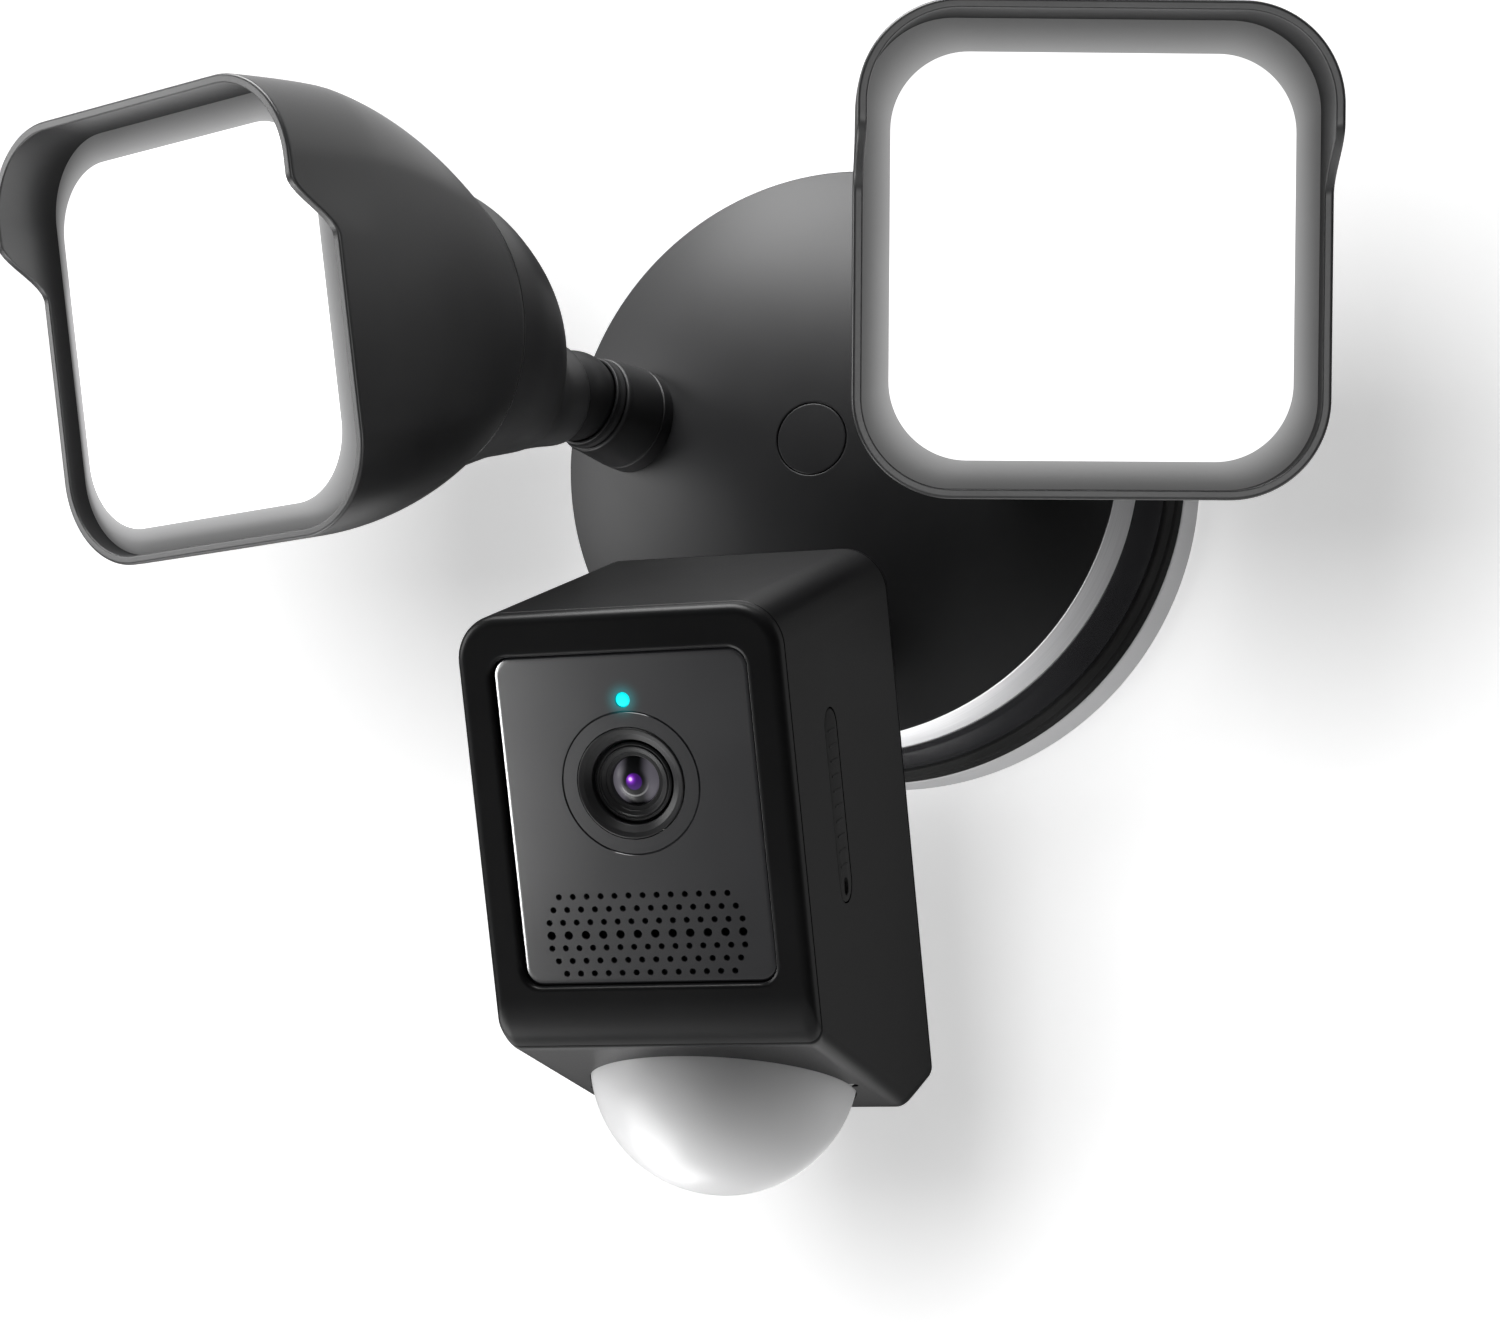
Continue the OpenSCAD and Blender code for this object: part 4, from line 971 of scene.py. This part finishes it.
def make_lens():
    """Lens ring, stepped barrel, domed front element and status light, each turned round its axis."""
    ring = rounded([
        (7.95, -4, 0), (12.5, -4, 0), (12.5, -1.62, 0), (10.85, -1.62, 0), (10.85, 0.3, 0.25),
        (9.7, -0.05, 0.4), (8.4, -1.0, 0.25), (8.3, -2.4, 0.2), (7.95, -2.6, 0)])
    housed(solid("lens_ring", revolve(LENS, ring)), "camera", "lens_black", "lens_housing")
    barrel = rounded([
        (3.9, -16, 0), (7.75, -16, 0), (7.75, -1.7, 0.12), (7.3, -1.5, 0.1), (7.15, -1.75, 0.08),
        (6.85, -1.45, 0.1), (6.6, -1.75, 0.08), (5.9, -2.0, 0.1), (5.75, -2.2, 0.08), (5.0, -2.3, 0.15),
        (4.75, -2.9, 0.1), (4.75, -5, 0), (3.9, -5, 0)])
    housed(solid("lens_barrel_rings", revolve(LENS, barrel)), "camera", "lens_black", "lens_barrel")
    cap = np.concatenate([bow(8.6, 90, 56.9, 20) - (0, 10.2), [(4.7, -4), (0, -4)]])
    housed(solid("front_element", turned(LENS, cap, 128)), "camera", "lens", "lens_glass")
    c, s = arc(90, 0, 8)
    tip = np.concatenate([np.stack([1.4 * c, 0.3 * s - 0.35], -1), [(1.4, -9), (0, -9)]])
    tip[0, 0] = 0
    housed(solid("status_light_pipe", turned(LIGHT, tip, 48)), "camera", "indicator", "status_light")


def pill_rows(place, length, width, rows):
    """Closed solid with a slot outline, from rows of (drawn in by, distance out), closed on its middle."""
    grid = np.stack([np.concatenate([pill(length - 2 * d, width - 2 * d), np.full((24, 1), h)], 1)
                     for d, h in rows])
    ends = [grid[k][None] * (0, 0, 1) for k in (0, -1)]
    return place(np.concatenate([ends[0], grid, ends[1]])), False, True


def make_side_plug():
    """Rubber plug: a slot-shaped face with eased edges, finger ribs across it and a notch to lift it by."""
    place = side_place()
    plug = solid("plug_face", pill_rows(place, PLUG_LEN - 0.5, PLUG_W - 0.5, [
        (0, -1.6), (0, -0.3), (0.08, -0.1), (0.3, 0)]))
    notch = Place(place((3.4 - PLUG_LEN / 2, 0, 0)), place.across, place.out)
    cut(plug, solid("notch", prism(notch, pill(3.6, 2.6), -0.6, 1)))
    housed(plug, "side_plug", "rubber", "side_plug")
    ribs = []
    for at in range(-12, 16, 3):
        across = Place(place((at, 0, 0)), place.up, place.out)
        ribs.append(pill_rows(across, 4.4, 0.5, [(0, -0.1), (0, 0.07), (0.07, 0.14)]))
    housed(solid("plug_ribs", *ribs), "side_plug", "rubber")


def make_motion_dome(radius):
    """Milky shell from its pole down to its rim, with a small pivot knob at each end.

    Gives back the cutters for the knobs' pockets in the housing.
    """
    down = -math.cos(CHIN_SLOPE) * CAMERA.up + math.sin(CHIN_SLOPE) * CAMERA.out
    place = Place(CAMERA((0, DOME_W, -DOME_DEEP)), CAMERA.across, down)
    lowest = math.degrees(math.asin(1.7 / radius))
    outer = bow(radius, 90, lowest, 60)
    line = np.concatenate([outer, (outer * (radius - 2) / radius)[::-1]])
    line[0, 0] = line[-1, 0] = 0

    def pivots(proud, size, steps):
        """A small globe at each end of the dome."""
        return [globe(Place(place((x * (radius + proud), 0, KNOB_DROP)), CAMERA.across, down), size, steps)
                for x in (-1, 1)]

    knobs = pivots(0.1, 0.8, (12, 24))
    dome = solid("sensor_dome", turned(place, line, 160), *knobs)
    housed(dome, "camera", "milky_white", "motion_dome")
    return [solid("pocket", pocket) for pocket in pivots(0.2, 1.5, (16, 32))]


def make_camera():
    """Bezel, housing, rear plate, front panel, lens, side plug and motion dome."""
    low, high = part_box("motion_dome")
    dome_r = (high.x - low.x) / 2 / MM
    cased(solid("camera_front_bezel", bezel_grid()), "camera_bezel")
    pockets = make_motion_dome(dome_r)
    shell = solid("camera_housing", shell_grid())
    dome_at = CAMERA((0, DOME_W, -DOME_DEEP))
    cut(shell, solid("dome_hole", globe(Place(dome_at, (1, 0, 0), (0, 0, 1)), dome_r + 0.3)), *pockets,
        solid("slot", prism(side_place(), pill(PLUG_LEN, PLUG_W), -4, 1)))
    cased(shell, "camera_shell", weigh=True)
    cased(solid("camera_rear_plate", back_grid()), "camera_back")
    make_front_panel()
    make_lens()
    make_side_plug()


# ---- Stage, lights and camera ----

STAGE_SIDE, STAGE_FRONT, STAGE_TOP, FLOOR_AT = 1.6, -2.4, 1.2, -0.9
WALL_AT = 0.0004


def stage_panel(name, corners, material, glossy=True):
    """Flat sheet behind or below the object, which may be kept out of its reflections."""
    mesh = bpy.data.meshes.new(name)
    mesh.from_pydata(corners, [], [tuple(range(len(corners)))])
    panel = add(name, mesh)
    mesh.materials.append(material)
    panel.visible_glossy = glossy
    return panel


def wall_paint():
    """Even white paint that is only there from the front."""
    f = Finish("wall_paint", Base_Color=(0.9, 0.9, 0.9), Roughness=0.9, Emission_Strength=0.45,
               Emission_Color=(1.0, 1.0, 1.0))
    clear = f.node("BsdfTransparent", out="BSDF")
    front = Value(f, f.shader.outputs[0])
    back = f.node("NewGeometry", out="Backfacing")
    mixed = f.node("MixShader", {}, {0: back, 1: front, 2: clear}, out="Shader")
    f.tree.links.new(mixed.socket, f.output.inputs[0])
    return f.material


def area_light(name, at, aim, size, power, only):
    """Rectangular light aimed at a point, falling on one group of pieces and itself out of sight."""
    light = bpy.data.lights.new(name, "AREA")
    light.shape, light.size, light.size_y = "RECTANGLE", size[0], size[1]
    light.energy = power
    holder = add(name, light)
    holder.matrix_world = Matrix.Translation(at) @ (
        Vector(aim) - Vector(at)).to_track_quat("-Z", "Y").to_matrix().to_4x4()
    holder.light_linking.receiver_collection = only
    holder.visible_camera = False


def make_stage():
    """Wall behind the base and floor below it."""
    back = [(x, WALL_AT, z) for x, z in (
        (-STAGE_SIDE, FLOOR_AT), (STAGE_SIDE, FLOOR_AT), (STAGE_SIDE, STAGE_TOP), (-STAGE_SIDE, STAGE_TOP))]
    ground = [(x, y, FLOOR_AT) for x, y in (
        (-STAGE_SIDE, STAGE_FRONT), (STAGE_SIDE, STAGE_FRONT), (STAGE_SIDE, WALL_AT), (-STAGE_SIDE, WALL_AT))]
    floor_paint = Finish("floor_paint", Base_Color=(0.8, 0.8, 0.8), Roughness=0.8).material
    return stage_panel("wall", back, wall_paint(), glossy=False), stage_panel("floor", ground, floor_paint)


def lit_group(name, pieces, leave_out=False):
    """Collection of pieces that a light falls on, or that it leaves out."""
    group = bpy.data.collections.new(name)
    for piece in pieces:
        group.objects.link(piece)
    if leave_out:
        for entry in group.collection_objects:
            entry.light_linking.link_state = "EXCLUDE"
    return group


LIGHTS = [  # name, where it stands, its aim, its size, its power, and the pieces it falls on
    ("wall_key", (0.0, -1.4, 0.10), (0.02, 0, -0.03), (0.6, 0.6), 14.5, "room"),
    ("high_soft", (-0.25, -0.40, 0.85), (-0.05, -0.1, 0), (0.9, 0.5), 15, "object"),
    ("left_soft", (-1.1, -0.50, 0.15), (0, -0.15, 0), (0.5, 0.7), 6, "object"),
    ("low_left", (-0.55, -0.25, -0.65), (0, -0.15, -0.14), (0.4, 0.5), 3, "object"),
    ("panel_glow", (-0.965, -1.45, -0.66), (0, -0.17, -0.09), (0.36, 0.8), 40, "panel"),
    ("wall_glow_under", (-0.08, -0.003, -0.35), (-0.08, -1, -0.35), (0.6, 0.26), 0.6, "camera"),
    ("wall_glow_side", (0.24, -0.003, -0.08), (0.24, -1, -0.08), (0.36, 0.3), 0.06, "camera"),
    ("dome_rim", (-0.20, -0.04, -0.40), (0, -0.17, -0.17), (0.25, 0.2), 0.8, "dome"),
    ("wall_glow_high", (0.0, -0.003, 0.42), (0, -1, 0.42), (1.4, 0.6), 2.8, "object"),
    ("wall_glow_low", (0.15, -0.003, -0.30), (0.15, -1, -0.30), (0.9, 0.4), 1.3, "lamps"),
    ("trim_glow", (0.15, -0.003, -0.30), (0.15, -1, -0.30), (0.9, 0.4), 6, "trim"),
    ("right_front", (0.9, -1.7, -0.3), (0.05, -0.2, 0.05), (0.6, 0.6), 6, "lamps"),
]
LIT_PIECES = {
    "panel": ["front_panel"],
    "trim": ["trim_band_ring", "gloss_skirt"],
    "lamps": [side + part for side in SIDES for part in ("_hooded_housing", "_bell")],
    "camera": ["camera_housing", "camera_front_bezel", "plug_face", "plug_ribs"],
    "dome": ["sensor_dome"],
}
WORLD_STRENGTH = 0.03


def make_lights(room):
    """A key for the wall, a high soft box and two from the left; small glows fall on single pieces."""
    groups = {"room": lit_group("on_room", room), "object": lit_group("on_object", room, True)}
    for name, pieces in LIT_PIECES.items():
        groups[name] = lit_group("on_" + name, [bpy.data.objects[piece] for piece in pieces])
    for *light, on in LIGHTS:
        area_light(*light, only=groups[on])

    world = bpy.data.worlds.new("room_light")
    world.use_nodes = True
    sky = world.node_tree.nodes["Background"].inputs
    sky["Color"].default_value = (1, 1, 1, 1)
    sky["Strength"].default_value = WORLD_STRENGTH
    bpy.context.scene.world = world


VIEW_AZ, VIEW_EL, VIEW_FROM = 19.45, -7.49, (0.2727, -0.88275, -0.1645)
VIEW_LENS, VIEW_SENSOR = 94.73, 36


def make_view():
    """Long lens from below and to the right, level."""
    az, el = math.radians(VIEW_AZ), math.radians(VIEW_EL)
    back = Vector((math.sin(az) * math.cos(el), -math.cos(az) * math.cos(el), math.sin(el)))
    lens = bpy.data.cameras.new("view")
    lens.lens, lens.sensor_width = VIEW_LENS, VIEW_SENSOR
    lens.clip_start = 0.01
    holder = add("view", lens)
    holder.matrix_world = Matrix.Translation(VIEW_FROM) @ back.to_track_quat(
        "Z", "Y").to_matrix().to_4x4()
    bpy.context.scene.camera = holder


bpy.context.scene.view_settings.view_transform = "Standard"
make_view()
room = make_stage()
dress_frame()
make_base()
make_knuckles()
make_lamps()
make_camera()
make_lights(room)
